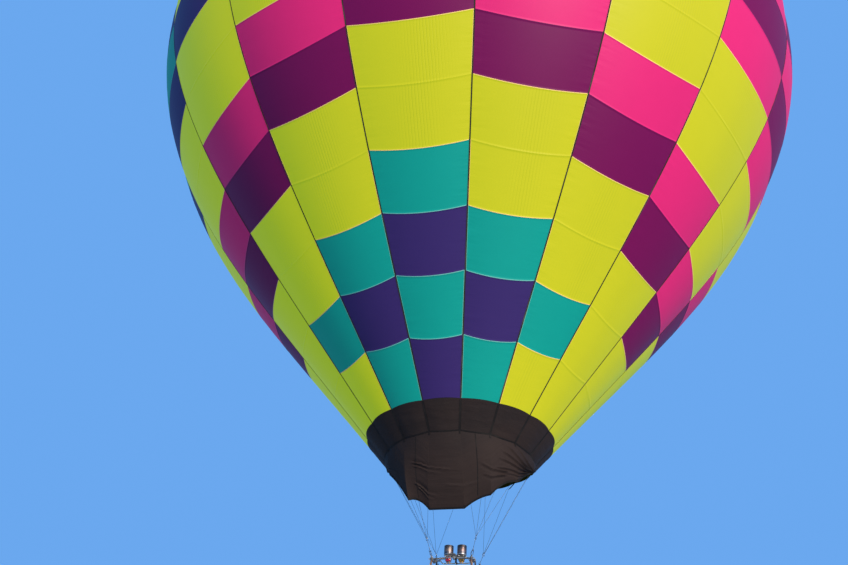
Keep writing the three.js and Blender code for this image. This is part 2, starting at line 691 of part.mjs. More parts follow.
// The coil is a stack of turns that touch, drawn as one ribbed ring.
function burnerCoil(x) {
  const low = CAN_BOTTOM + CAN_WALL + GAP;
  const outer = [];
  const inner = [];
  for (let turn = 0; turn < COIL_TURNS; turn++) {
    const height = low + (2 * turn + 1) * COIL_BAR;
    outer.push([COIL_RADIUS + COIL_BAR, height], [COIL_RADIUS + COIL_BAR / 3, height + COIL_BAR]);
    inner.push([COIL_RADIUS - COIL_BAR, height]);
  }
  const section = [[COIL_RADIUS, low], ...outer, ...inner.reverse(), [COIL_RADIUS, low]];
  return turned(section, 12).translate(x, 0, 0);
}

// A valve body with its lever at the front, its gauge at the back and its two inlets below.
function valveBody(x) {
  const top = CAN_BOTTOM - GAP - CROSSBAR_DEPTH - GAP;
  const low = top - VALVE_BODY.z;
  const at = (across, along, height) => new THREE.Vector3(x + across, along, height);
  const leverHeight = top - LEVER.height;
  const gaugeHeight = top - GAUGE.height;
  const back = VALVE_BODY.y / 2;
  const parts = [
    block({ x, y: 0, z: top - VALVE_BODY.z / 2 }, VALVE_BODY),
    rod(at(0, 0, leverHeight), at(0, -LEVER.reach, leverHeight), LEVER.arm, 8),
    rod(at(-LEVER.half, -LEVER.reach, leverHeight), at(LEVER.half, -LEVER.reach, leverHeight), LEVER.grip, 8),
    rod(at(0, 0, gaugeHeight), at(0, back + GAUGE.depth, gaugeHeight), GAUGE.radius, 16),
  ];
  for (const side of [1, -1]) {
    const across = side * INLET.offset;
    parts.push(rod(at(across, 0, top - VALVE_BODY.z / 2), at(across, 0, low - INLET.drop), INLET.radius, 8));
  }
  return joined(parts);
}

add('burner_crossbar', burnerCrossbar(), darkSteel);
const burners = [
  { side: 'left', x: -BURNER_SPACING / 2, paint: crimsonPaint },
  { side: 'right', x: BURNER_SPACING / 2, paint: brass },
];
for (const { side, x, paint } of burners) {
  add(`burner_can_${side}`, burnerCan(x), stainless);
  add(`burner_coil_${side}`, burnerCoil(x), stainless);
  add(`valve_body_${side}`, valveBody(x), paint);
}

// Uprights between the basket and the burner frame
for (const corner of corners) {
  const top = new THREE.Vector3(corner.x * FRAME_HALF_X, corner.y * FRAME_HALF_Y, CORNER_BOSS_BOTTOM - GAP);
  const foot = new THREE.Vector3(corner.x * UPRIGHT_FOOT.x, corner.y * UPRIGHT_FOOT.y, RIM_TOP + GAP);
  add(`upright_${corner.name}`, pole(foot, top, UPRIGHT_RADIUS, 10), leather);
}

// Basket
// The basket's outline from above, moved in by an inset.
function basketLoop(inset, height) {
  return roundedLoop(BASKET_HALF_X - inset, BASKET_HALF_Y - inset, BASKET_CORNER - inset, 4, height);
}

function basketShape(inset) {
  return basketLoop(inset, 0).map((point) => new THREE.Vector2(point.x, point.y));
}

function extruded(outline, hole, low, high) {
  const shape = new THREE.Shape(outline);
  if (hole) shape.holes.push(new THREE.Path(hole));
  const geometry = new THREE.ExtrudeGeometry(shape, { depth: high - low, bevelEnabled: false });
  geometry.translate(0, 0, low);
  return closed(geometry);
}

// Lifting handles on the two side walls.
function basketHandles() {
  const parts = [];
  for (const side of [1, -1]) {
    for (const place of [-HANDLE.spread / 2, HANDLE.spread / 2]) {
      const grip = side * (BASKET_HALF_X + HANDLE.reach);
      const ends = [-HANDLE.half, HANDLE.half].map((along) => place + along);
      parts.push(rod(...ends.map((y) => new THREE.Vector3(grip, y, HANDLE.height)), HANDLE.radius, 8));
      for (const [i, y] of ends.entries()) {
        const inward = y - (i === 0 ? -1 : 1) * HANDLE.radius;
        const foot = new THREE.Vector3(side * (BASKET_HALF_X - GAP), inward, HANDLE.height);
        parts.push(rod(foot, foot.clone().setX(grip), HANDLE.radius, 8));
      }
    }
  }
  return parts;
}

// The walls, with a rolled border round the base and round each foothold, and the lifting handles.
function basketWalls() {
  const up = new THREE.Vector3(0, 0, 1);
  const parts = [
    extruded(basketShape(0), basketShape(BASKET_WALL), BASKET_BOTTOM, BASKET_TOP),
    loopBar(basketLoop(0, BASKET_BOTTOM + BORDER_RADIUS), BORDER_RADIUS, 8, up),
  ];
  const cuts = [];
  for (const side of [1, -1]) {
    for (const step of [0, 1]) {
      const x = (step === 0 ? 1 : -1) * FOOTHOLD.spread * side / 2;
      const low = BASKET_BOTTOM + FOOTHOLD.low + step * FOOTHOLD.rise;
      const centre = { x, y: side * (BASKET_HALF_Y - BASKET_WALL / 2), z: low + FOOTHOLD.height / 2 };
      cuts.push(block(centre, { x: FOOTHOLD.width, y: 2 * BASKET_WALL, z: FOOTHOLD.height }));
      const rim = BORDER_RADIUS / 2;
      const [halfX, halfZ] = [FOOTHOLD.width / 2 + rim, FOOTHOLD.height / 2 + rim];
      const turns = [[1, 1], [-1, 1], [-1, -1], [1, -1]];
      const corner = ([across, above]) => new THREE.Vector3(
        x + across * halfX, side * BASKET_HALF_Y, centre.z + above * halfZ);
      parts.push(loopBar(turns.map(corner), rim * Math.SQRT2, 4, new THREE.Vector3(0, 1, 0)));
    }
  }
  return joined([...parts, ...basketHandles()], cuts);
}

function basketFloor() {
  return extruded(basketShape(BASKET_WALL + GAP), null, BASKET_BOTTOM, BASKET_BOTTOM + FLOOR_THICKNESS);
}

// The padded rim rides on the top of the walls.
function basketRim() {
  return loopBar(basketLoop(BASKET_WALL / 2, RIM_HEIGHT), RIM_RADIUS, 8, new THREE.Vector3(0, 0, 1));
}

function fuelCylinder(corner) {
  const inset = BASKET_WALL + CYLINDER_CLEARANCE + CYLINDER_RADIUS;
  const low = BASKET_BOTTOM + FLOOR_THICKNESS + GAP;
  const shell = CYLINDER_SHELL.map(([inward, height]) => [CYLINDER_RADIUS - inward, height]);
  const section = [[0, 0], ...shell, ...CYLINDER_VALVE].map(([radius, height]) => [radius, low + height]);
  const geometry = turned(section, 14);
  return geometry.translate(corner.x * (BASKET_HALF_X - inset), corner.y * (BASKET_HALF_Y - inset), 0);
}

add('basket_walls', basketWalls(), wicker);
add('basket_floor', basketFloor(), plywood);
add('basket_rim', basketRim(), leather);
for (const corner of corners) {
  add(`fuel_cylinder_${corner.name}`, fuelCylinder(corner), aluminium);
}
for (const [name, x] of [['left', -SKID.offset], ['right', SKID.offset]]) {
  const top = BASKET_BOTTOM - GAP;
  const low = [x - SKID.width / 2, -SKID.half, top - SKID.depth];
  add(`skid_${name}`, box(low, [x + SKID.width / 2, SKID.half, top]), hardwood);
}

export default balloon;
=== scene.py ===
"""Dresses a hot air balloon: sewn envelope, scoop, flying wires, twin burner and wicker basket.

Lengths are metres, +Z is up and the origin lies on the envelope's axis at its widest height.
The front, where the scoop hangs, faces -Y; an azimuth of 0 points there and grows towards +X.
"""

import logging
import math
from dataclasses import dataclass, field
from enum import Enum
from typing import Callable, Iterable, Sequence

import bmesh
import bpy
import numpy as np
from mathutils import Matrix, Vector


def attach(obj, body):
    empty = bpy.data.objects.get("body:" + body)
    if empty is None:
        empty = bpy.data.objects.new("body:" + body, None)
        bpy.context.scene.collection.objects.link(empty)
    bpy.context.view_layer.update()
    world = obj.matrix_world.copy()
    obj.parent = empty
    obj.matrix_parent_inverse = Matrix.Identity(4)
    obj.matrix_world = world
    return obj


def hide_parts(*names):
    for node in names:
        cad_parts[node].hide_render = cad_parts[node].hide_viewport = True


log = logging.getLogger("balloon")
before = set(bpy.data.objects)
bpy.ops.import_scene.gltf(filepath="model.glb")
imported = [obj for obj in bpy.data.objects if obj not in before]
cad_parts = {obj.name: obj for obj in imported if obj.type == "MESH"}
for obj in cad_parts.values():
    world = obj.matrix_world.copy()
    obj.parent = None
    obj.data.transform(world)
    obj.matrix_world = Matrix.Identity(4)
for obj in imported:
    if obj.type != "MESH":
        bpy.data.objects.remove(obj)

TURN = 2.0 * math.pi
X, Y, Z = (Vector(row) for row in ((1.0, 0.0, 0.0), (0.0, 1.0, 0.0), (0.0, 0.0, 1.0)))

Colour = tuple[float, float, float, float]
Profile = Sequence[tuple[float, float]]


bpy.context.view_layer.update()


# Shader groups

Socket = bpy.types.NodeSocket


def linear(red: int, green: int, blue: int) -> Colour:
    """Turns a screen colour into the linear one that shaders use.

    Args:
        red, green, blue: screen values from 0 to 255.

    Returns:
        The linear colour with an alpha of 1.
    """
    parts = []
    for value in (red, green, blue):
        share = value / 255.0
        parts.append(share / 12.92 if share <= 0.04045 else ((share + 0.055) / 1.055) ** 2.4)
    return (parts[0], parts[1], parts[2], 1.0)


class Tree:
    """Adds and links nodes in one material or one shader group."""

    def __init__(self, tree: bpy.types.NodeTree) -> None:
        """Keeps the tree that the nodes go into."""
        self.tree = tree

    def node(self, kind: str, **settings: object) -> bpy.types.Node:
        """Adds a node.

        Args:
            kind: the node's type, without its ShaderNode prefix.
            settings: properties of the node.

        Returns:
            The new node.
        """
        made = self.tree.nodes.new("ShaderNode" + kind)
        for name, value in settings.items():
            setattr(made, name, value)
        return made

    def feed(self, target: Socket, source: object) -> None:
        """Links a socket to another, or sets its value."""
        if isinstance(source, bpy.types.NodeSocket):
            self.tree.links.new(source, target)
        else:
            target.default_value = source

    def fill(self, node: bpy.types.Node, **inputs: object) -> bpy.types.Node:
        """Feeds values or sockets to a node's inputs by name, with _ for a space."""
        for name, value in inputs.items():
            self.feed(node.inputs[name.replace("_", " ")], value)
        return node

    def on_cloth(self) -> Socket:
        """Returns the place on the flat cloth, from the piece's own UV map."""
        return self.node("UVMap", uv_map="cloth").outputs[0]

    def on_piece(self) -> Socket:
        """Returns the place on the object."""
        return self.node("TexCoord").outputs["Object"]

    def mask(self, name: str) -> Socket:
        """Returns one of the mesh's attributes as a number."""
        return self.node("Attribute", attribute_name=name).outputs["Fac"]

    def math(self, operation: str, first: object, second: object = 0.0) -> Socket:
        """Adds a math node and returns its value."""
        made = self.node("Math", operation=operation)
        self.feed(made.inputs[0], first)
        self.feed(made.inputs[1], second)
        return made.outputs[0]

    def plus(self, first: object, second: object) -> Socket:
        """Adds two values."""
        return self.math("ADD", first, second)

    def times(self, first: object, second: object) -> Socket:
        """Multiplies two values."""
        return self.math("MULTIPLY", first, second)

    def mix(self, share: object, first: object, second: object) -> Socket:
        """Adds a colour mix and returns its colour."""
        made = self.node("Mix", data_type="RGBA")
        self.feed(made.inputs["Factor"], share)
        self.feed(made.inputs[6], first)
        self.feed(made.inputs[7], second)
        return made.outputs[2]

    def ramp(self, value: object, low: float, high: float, to_low: float = 0.0,
             to_high: float = 1.0) -> Socket:
        """Adds a clamped map range and returns its value."""
        made = self.fill(self.node("MapRange"), Value=value, From_Min=low, From_Max=high, To_Min=to_low,
                         To_Max=to_high)
        return made.outputs[0]

    def noise(self, vector: Socket, scale: object, detail: float = 3.0) -> Socket:
        """Adds a noise texture and returns its value."""
        return self.fill(self.node("TexNoise"), Vector=vector, Scale=scale, Detail=detail).outputs["Fac"]

    def stretched(self, vector: Socket, scale: Sequence[float]) -> Socket:
        """Scales a vector along its axes and returns it."""
        return self.fill(self.node("Mapping"), Vector=vector, Scale=scale).outputs[0]

    def group(self, tree: bpy.types.NodeTree, **inputs: object) -> bpy.types.Node:
        """Places a shader group.

        Args:
            tree: the group.
            inputs: values or sockets by input name, with _ for a space.

        Returns:
            The group's node.
        """
        return self.fill(self.node("Group", node_tree=tree), **inputs)


def effect(name: str, inputs: dict[str, object], outputs: Sequence[str],
           build: Callable[[Tree, bpy.types.Node, bpy.types.Node], None]) -> bpy.types.NodeTree:
    """Makes one shader group with named inputs and outputs.

    Args:
        name: the group's name.
        inputs: default values by name; a tuple of 4 is a colour, and None a vector.
        outputs: names, of which those that end in Colour are colours.
        build: fills the group between its input and output nodes.

    Returns:
        The group.
    """
    tree = bpy.data.node_groups.new(name, "ShaderNodeTree")
    for label, value in inputs.items():
        kind = "NodeSocketFloat"
        if value is None:
            kind = "NodeSocketVector"
        elif isinstance(value, tuple):
            kind = "NodeSocketColor"
        made = tree.interface.new_socket(label, in_out="INPUT", socket_type=kind)
        if value is not None:
            made.default_value = value
    for label in outputs:
        kind = "NodeSocketColor" if label.endswith("Colour") else "NodeSocketFloat"
        tree.interface.new_socket(label, in_out="OUTPUT", socket_type=kind)
    shop = Tree(tree)
    build(shop, shop.tree.nodes.new("NodeGroupInput"), shop.tree.nodes.new("NodeGroupOutput"))
    return tree


def build_weave(shop: Tree, given: bpy.types.Node, out: bpy.types.Node) -> None:
    """Two crossed sets of threads, as a height and as a mask of the gaps between them, which the seams darken
    as painted shade.
    """
    waves = []
    for direction in ("X", "Y"):
        wave = shop.node("TexWave", wave_type="BANDS", bands_direction=direction, wave_profile="SIN")
        shop.fill(wave, Vector=given.outputs["Vector"], Scale=given.outputs["Threads"], Distortion=0.4)
        waves.append(wave.outputs["Fac"])
    height = shop.math("MAXIMUM", waves[0], waves[1])
    shop.fill(out, Height=height, Gaps=shop.ramp(height, 0.6, 0.35))


def build_fading(shop: Tree, given: bpy.types.Node, out: bpy.types.Node) -> None:
    """A colour that wanders a little in lightness, with soft clouds and finer flecks."""
    clouds = shop.noise(given.outputs["Vector"], given.outputs["Scale"], 4.0)
    flecks = shop.noise(given.outputs["Vector"], shop.times(given.outputs["Scale"], 9.0), 2.0)
    both = shop.plus(shop.times(clouds, 0.7), shop.times(flecks, 0.3))
    swing = shop.times(shop.math("SUBTRACT", both, 0.5), given.outputs["Amount"])
    shade = shop.fill(shop.node("HueSaturation"), Color=given.outputs["Colour"], Value=shop.plus(swing, 1.0))
    shop.fill(out, Colour=shade.outputs[0], Clouds=clouds)


def build_dust(shop: Tree, given: bpy.types.Node, out: bpy.types.Node) -> None:
    """Pale dust that lies in patches, thicker where the mask says."""
    patches = shop.ramp(shop.noise(given.outputs["Vector"], given.outputs["Scale"], 5.0), 0.52, 0.75)
    share = shop.times(patches, given.outputs["Amount"])
    shop.fill(out, Colour=shop.mix(share, given.outputs["Colour"], linear(168, 158, 140)), Dusty=share)


def build_wear(shop: Tree, given: bpy.types.Node, out: bpy.types.Node) -> None:
    """Bare metal along worn edges, broken up by noise."""
    ragged = shop.noise(given.outputs["Vector"], given.outputs["Scale"], 4.0)
    edge = shop.mask("edge")
    reach = shop.plus(edge, shop.math("SUBTRACT", ragged, 0.62))
    share = shop.times(shop.ramp(reach, 0.18, 0.34), given.outputs["Amount"])
    shop.fill(out, Colour=shop.mix(share, given.outputs["Colour"], given.outputs["Bare Colour"]), Worn=share)


def build_grain(shop: Tree, given: bpy.types.Node, out: bpy.types.Node) -> None:
    """Long streaks along one axis, as in wood, cane or brushed metal."""
    streaks = shop.noise(given.outputs["Vector"], given.outputs["Scale"], 5.0)
    streaked = shop.mix(shop.ramp(streaks, 0.35, 0.7), given.outputs["Colour"],
                        given.outputs["Streak Colour"])
    shop.fill(out, Colour=streaked, Height=streaks)


def build_hide(shop: Tree, given: bpy.types.Node, out: bpy.types.Node) -> None:
    """The small cells and fine creases of leather."""
    cells = shop.fill(shop.node("TexVoronoi", feature="DISTANCE_TO_EDGE"), Vector=given.outputs["Vector"],
                      Scale=given.outputs["Scale"])
    height = shop.ramp(cells.outputs["Distance"], 0.0, 0.22)
    creases = shop.noise(given.outputs["Vector"], shop.times(given.outputs["Scale"], 0.2), 4.0)
    shop.fill(out, Height=shop.plus(height, shop.times(creases, 0.6)), Creases=creases)


WHITE = (1, 1, 1, 1)
WEAVE = effect("weave", {"Vector": None, "Threads": 200.0}, ("Height", "Gaps"), build_weave)
FADING = effect("fading", {"Vector": None, "Colour": WHITE, "Scale": 0.5, "Amount": 0.1},
                ("Colour", "Clouds"), build_fading)
DUST = effect("dust", {"Vector": None, "Colour": WHITE, "Scale": 6.0, "Amount": 0.3}, ("Colour", "Dusty"),
              build_dust)
WEAR = effect("edge wear",
              {"Vector": None, "Colour": WHITE, "Bare Colour": WHITE, "Scale": 60.0, "Amount": 1.0},
              ("Colour", "Worn"), build_wear)
GRAIN = effect("grain", {"Vector": None, "Colour": WHITE, "Streak Colour": WHITE, "Scale": 8.0},
               ("Colour", "Height"), build_grain)
HIDE = effect("hide", {"Vector": None, "Scale": 220.0}, ("Height", "Creases"), build_hide)


# Finishes


@dataclass(frozen=True)
class Finish:
    """What every finish has: a name, a colour and the name of a material slot."""

    name: str
    colour: Colour
    slot: str
    roughness: float = 0.6

    def material(self) -> bpy.types.Material:
        """Returns the finish's material, made at its first use."""
        known = bpy.data.materials.get(self.name)
        if known is not None:
            return known
        made = bpy.data.materials.new(self.name)
        made.use_nodes = True
        made.node_tree.nodes.clear()
        shop = Tree(made.node_tree)
        skin = shop.fill(shop.node("BsdfPrincipled"), Roughness=self.roughness)
        shop.fill(shop.node("OutputMaterial"), Surface=skin.outputs[0])
        made.diffuse_color = self.colour
        self.dress(shop, skin)
        return made

    def dress(self, shop: Tree, skin: bpy.types.Node) -> None:
        """Fills in the shader; each kind of finish has its own."""
        raise NotImplementedError

    @staticmethod
    def relief(shop: Tree, skin: bpy.types.Node, height: Socket, distance: float,
               strength: float = 1.0) -> None:
        """Feeds a height through a bump node into the shader's normal."""
        bump = shop.fill(shop.node("Bump"), Distance=distance, Strength=strength, Height=height)
        shop.fill(skin, Normal=bump.outputs[0])


@dataclass(frozen=True)
class Canopy(Finish):
    """Coated ripstop cloth with a painted glow: a constant emission in the through colour stands for light
    shining through the cloth.
    """

    # through: the colour of the painted glow, emitted at full strength whatever the lamps
    through: Colour = (0.0, 0.0, 0.0, 1.0)
    slot: str = "envelope_fabric"
    roughness: float = 0.5

    def dress(self, shop: Tree, skin: bpy.types.Node) -> None:
        """Adds the ripstop grid, faded clouds, the painted glow, and the fine gathers that the attribute
        places, with painted shade in their folds.
        """
        flat = shop.on_cloth()
        faded = shop.group(FADING, Vector=shop.on_piece(), Colour=self.colour, Scale=0.35, Amount=0.16)
        ripstop = shop.group(WEAVE, Vector=flat, Threads=18.0)
        gathers = shop.fill(shop.node("TexWave", wave_type="BANDS", bands_direction="X"), Vector=flat,
                            Scale=4.3,
                            Distortion=1.2, Detail=1.0)
        # Painted shade: the gathers' folds darken the cloth's colour by up to a tenth, besides their bump
        held = shop.times(shop.ramp(gathers.outputs["Fac"], 0.72, 0.98), shop.mask("gather_and_shade"))
        shade = shop.fill(shop.node("HueSaturation"), Color=faded.outputs["Colour"],
                          Value=shop.ramp(held, 0.0, 1.0, 1.0, 0.9))
        # Painted glow: the through colour is emitted, standing for light shining through the cloth
        shop.fill(skin, Base_Color=shade.outputs[0], Emission_Color=self.through, Emission_Strength=1.0,
                  Specular_IOR_Level=0.1)
        puckers = shop.noise(shop.stretched(flat, (0.9, 5.0, 1.0)), 1.0)
        relief = shop.plus(shop.times(ripstop.outputs["Height"], 0.012),
                           shop.times(shop.times(puckers, shop.mask("pucker")), 0.9))
        relief = shop.math("SUBTRACT", relief, shop.times(held, 0.12))
        self.relief(shop, skin, relief, 0.02)


@dataclass(frozen=True)
class Seam(Finish):
    """A felled seam of doubled cloth, with two lines of stitches along it, painted shade in the gaps between
    them and a weak painted glow.
    """

    slot: str = "envelope_fabric"
    painted_glow: float = 0.08
    stitch: float = 0.004

    def dress(self, shop: Tree, skin: bpy.types.Node) -> None:
        """Adds stitches as short dashes along the cloth's width, darkens the gaps between them as painted
        shade, and emits the seam's colour weakly as a painted glow.
        """
        faded = shop.group(FADING, Vector=shop.on_piece(), Colour=self.colour, Scale=0.8, Amount=0.2)
        dashes = shop.group(WEAVE, Vector=shop.on_cloth(), Threads=0.16 / self.stitch)
        # Painted shade: the gaps between the stitches darken towards a dull olive
        tint = shop.mix(shop.times(dashes.outputs["Gaps"], 0.35), faded.outputs["Colour"], linear(90, 84, 60))
        # Painted glow: the seam's colour is emitted weakly
        shop.fill(skin, Base_Color=tint, Emission_Color=tint, Emission_Strength=self.painted_glow)
        self.relief(shop, skin, dashes.outputs["Height"], 0.001)


@dataclass(frozen=True)
class Webbing(Finish):
    """Woven tape with ribs across it."""

    slot: str = "tape_webbing"
    roughness: float = 0.8
    dust: float = 0.1

    def dress(self, shop: Tree, skin: bpy.types.Node) -> None:
        """Adds the ribs of the weave and a little dust."""
        place = shop.on_piece()
        ribs = shop.group(WEAVE, Vector=shop.on_cloth(), Threads=60.0)
        dusty = shop.group(DUST, Vector=place, Colour=self.colour, Scale=1.5, Amount=self.dust)
        faded = shop.group(FADING, Vector=place, Colour=dusty.outputs["Colour"], Scale=1.2, Amount=0.3)
        shop.fill(skin, Base_Color=faded.outputs["Colour"], Specular_IOR_Level=0.15)
        self.relief(shop, skin, ribs.outputs["Height"], 0.0012)


@dataclass(frozen=True)
class Heatproof(Finish):
    """Matt heatproof cloth, coarse in its weave and stained by soot."""

    slot: str = "heatproof_cloth"
    roughness: float = 0.78
    soot: Colour = linear(18, 15, 16)

    def dress(self, shop: Tree, skin: bpy.types.Node) -> None:
        """Adds the weave, soot clouds and soft creases across the cloth."""
        flat = shop.on_cloth()
        weave = shop.group(WEAVE, Vector=flat, Threads=45.0)
        faded = shop.group(FADING, Vector=shop.on_piece(), Colour=self.colour, Scale=0.7, Amount=0.5)
        sooty = shop.ramp(faded.outputs["Clouds"], 0.45, 0.72, 0.0, 0.55)
        shop.fill(skin, Base_Color=shop.mix(sooty, faded.outputs["Colour"], self.soot),
                  Specular_IOR_Level=0.15)
        creases = shop.noise(shop.stretched(flat, (0.7, 3.2, 1.0)), 1.0, 4.0)
        relief = shop.plus(shop.times(weave.outputs["Height"], 0.02), creases)
        self.relief(shop, skin, relief, 0.05, 0.8)


class Cloth(Enum):
    """The colours that the envelope's panels are cut from."""

    # through is each cloth's painted glow, an emission that stands for light shining through it
    LIME = Canopy("lime_cloth", linear(144, 122, 16), through=linear(110, 146, 18))
    PINK = Canopy("pink_cloth", linear(181, 30, 90), through=linear(40, 0, 12))
    PLUM = Canopy("plum_cloth", linear(92, 6, 62))
    VIOLET = Canopy("violet_cloth", linear(44, 30, 80))
    TEAL = Canopy("teal_cloth", linear(6, 116, 106), through=linear(0, 62, 50))
    CREAM_SEAM = Seam("cream_seam", linear(208, 172, 84))
    MINT_SEAM = Seam("mint_seam", linear(78, 150, 138))


CLOTHS = list(Cloth)
VENT_CLOTH = Canopy("vent_cloth", linear(78, 20, 68), slot="vent_fabric")
DARK_WEBBING = Webbing("load_tape", linear(34, 34, 22))
BINDING = Webbing("heatproof_binding", linear(15, 12, 12), slot="heatproof_cloth", dust=0.03)
BROWN_CLOTH = Heatproof("sooty_cloth", linear(34, 24, 21))


@dataclass(frozen=True)
class Metal(Finish):
    """Bare metal with fine scratches, dull patches and dust."""

    slot: str = "bare_aluminium"
    roughness: float = 0.3
    streak: Colour = linear(150, 152, 156)
    stretch: tuple[float, float, float] = (3.0, 3.0, 40.0)

    def dress(self, shop: Tree, skin: bpy.types.Node) -> None:
        """Adds scratches along one axis, clouds in the colour and patches in the gloss."""
        place = shop.on_piece()
        faded = shop.group(FADING, Vector=place, Colour=self.base(shop, place), Scale=9.0, Amount=0.3)
        brushed = shop.group(GRAIN, Vector=shop.stretched(place, self.stretch),
                             Colour=faded.outputs["Colour"],
                             Streak_Colour=self.streak, Scale=9.0)
        softly = shop.mix(0.35, faded.outputs["Colour"], brushed.outputs["Colour"])
        dusty = shop.group(DUST, Vector=place, Colour=softly, Scale=8.0, Amount=0.3)
        dull = shop.plus(shop.ramp(faded.outputs["Clouds"], 0.35, 0.7, self.roughness, self.roughness + 0.2),
                         shop.times(dusty.outputs["Dusty"], 0.5))
        shop.fill(skin, Base_Color=dusty.outputs["Colour"], Roughness=dull, Metallic=1.0)
        self.relief(shop, skin, brushed.outputs["Height"], 0.0004)

    def base(self, shop: Tree, place: Socket) -> object:
        """Returns the colour before scratches and dust."""
        return self.colour


@dataclass(frozen=True)
class HeatTinted(Metal):
    """Stainless sheet that the flame has stained in bands from straw to brown and violet."""

    slot: str = "stainless_steel"
    roughness: float = 0.36
    low: float = -14.783
    high: float = -14.563

    def base(self, shop: Tree, place: Socket) -> object:
        """Returns the bands of heat stain, ragged by noise."""
        height = shop.fill(shop.node("SeparateXYZ"), Vector=place)
        ragged = shop.times(shop.math("SUBTRACT", shop.noise(place, 14.0, 4.0), 0.5), 0.07)
        level = shop.ramp(shop.plus(height.outputs["Z"], ragged), self.low, self.high)
        bands = shop.node("ValToRGB")
        shop.feed(bands.inputs[0], level)
        stops = ((0.0, linear(132, 124, 116)), (0.22, linear(92, 84, 90)), (0.42, linear(108, 78, 66)),
                 (0.68, linear(84, 62, 56)), (1.0, linear(56, 48, 48)))
        for spot, tint in stops[1:-1]:
            bands.color_ramp.elements.new(spot).color = tint
        bands.color_ramp.elements[0].color = stops[0][1]
        bands.color_ramp.elements[-1].color = stops[-1][1]
        return bands.outputs[0]


@dataclass(frozen=True)
class Paint(Finish):
    """Paint over steel, chipped to the metal along its edges."""

    slot: str = "dark_steel"
    roughness: float = 0.45
    bare: Colour = linear(150, 146, 140)
    gloss: float = 0.0

    def dress(self, shop: Tree, skin: bpy.types.Node) -> None:
        """Adds chips, dust and the fine skin of sprayed paint."""
        place = shop.on_piece()
        faded = shop.group(FADING, Vector=place, Colour=self.colour, Scale=11.0, Amount=0.35)
        worn = shop.group(WEAR, Vector=place, Colour=faded.outputs["Colour"], Bare_Colour=self.bare,
                          Scale=90.0)
        dusty = shop.group(DUST, Vector=place, Colour=worn.outputs["Colour"], Scale=9.0, Amount=0.3)
        dull = shop.plus(shop.ramp(faded.outputs["Clouds"], 0.3, 0.7, self.roughness, self.roughness + 0.15),
                         shop.times(dusty.outputs["Dusty"], 0.4))
        shop.fill(skin, Base_Color=dusty.outputs["Colour"], Metallic=worn.outputs["Worn"], Roughness=dull,
                  Coat_Weight=self.gloss, Coat_Roughness=0.12)
        self.relief(shop, skin, shop.noise(place, 900.0, 2.0), 0.0002)


@dataclass(frozen=True)
class StrandedWire(Finish):
    """Wire rope, whose strands wind round it."""

    slot: str = "steel_wire"
    roughness: float = 0.38
    turns: float = 70.0

    def dress(self, shop: Tree, skin: bpy.types.Node) -> None:
        """Adds the winding strands, with painted shade darkening their grooves."""
        flat = shop.fill(shop.node("SeparateXYZ"), Vector=shop.on_cloth())
        wound = shop.plus(shop.times(flat.outputs["X"], self.turns), flat.outputs["Y"])
        strand = shop.math("ABSOLUTE", shop.math("SINE", shop.times(wound, 3.0 * TURN / 2.0)))
        faded = shop.group(FADING, Vector=shop.on_piece(), Colour=self.colour, Scale=6.0, Amount=0.3)
        # Painted shade: the grooves between the strands darken towards near black
        groove_shade = shop.ramp(strand, 0.1, 0.6, 0.75, 0.0)
        shop.fill(skin, Base_Color=shop.mix(groove_shade, faded.outputs["Colour"], linear(34, 34, 36)),
                  Metallic=1.0)
        self.relief(shop, skin, strand, 0.0008)


@dataclass(frozen=True)
class Leather(Finish):
    """Hide with small cells, creases and rubbed, paler places."""

    slot: str = "leather"
    roughness: float = 0.55
    rubbed: Colour = linear(150, 110, 78)

    def dress(self, shop: Tree, skin: bpy.types.Node) -> None:
        """Adds the hide's cells, rubbed patches and dust."""
        place = shop.on_piece()
        hide = shop.group(HIDE, Vector=place, Scale=260.0)
        faded = shop.group(FADING, Vector=place, Colour=self.colour, Scale=5.0, Amount=0.4)
        patches = shop.ramp(shop.noise(place, 3.1, 5.0), 0.5, 0.8, 0.0, 0.3)
        rubbed = shop.mix(patches, faded.outputs["Colour"], self.rubbed)
        dusty = shop.group(DUST, Vector=place, Colour=rubbed, Scale=14.0, Amount=0.12)
        shop.fill(skin, Base_Color=dusty.outputs["Colour"],
                  Roughness=shop.ramp(hide.outputs["Creases"], 0.3, 0.7, 0.45, 0.7))
        self.relief(shop, skin, hide.outputs["Height"], 0.0007)


@dataclass(frozen=True)
class Cane(Finish):
    """Peeled willow and cane, each strand in its own tone."""

    slot: str = "wicker"
    roughness: float = 0.5
    dark: Colour = linear(112, 72, 36)

    def dress(self, shop: Tree, skin: bpy.types.Node) -> None:
        """Adds the strand's tone, its grain and the dirt between strands."""
        place = shop.on_piece()
        grain = shop.group(GRAIN, Vector=shop.stretched(shop.on_cloth(), (9.0, 60.0, 1.0)),
                           Colour=self.colour,
                           Streak_Colour=self.dark, Scale=1.6)
        toned = shop.mix(shop.times(shop.mask("tone"), 0.55), grain.outputs["Colour"], self.dark)
        faded = shop.group(FADING, Vector=place, Colour=toned, Scale=2.2, Amount=0.45)
        dusty = shop.group(DUST, Vector=place, Colour=faded.outputs["Colour"], Scale=3.0, Amount=0.3)
        shop.fill(skin, Base_Color=dusty.outputs["Colour"],
                  Roughness=shop.ramp(grain.outputs["Height"], 0.3, 0.7, 0.42, 0.62))
        self.relief(shop, skin, grain.outputs["Height"], 0.0008)


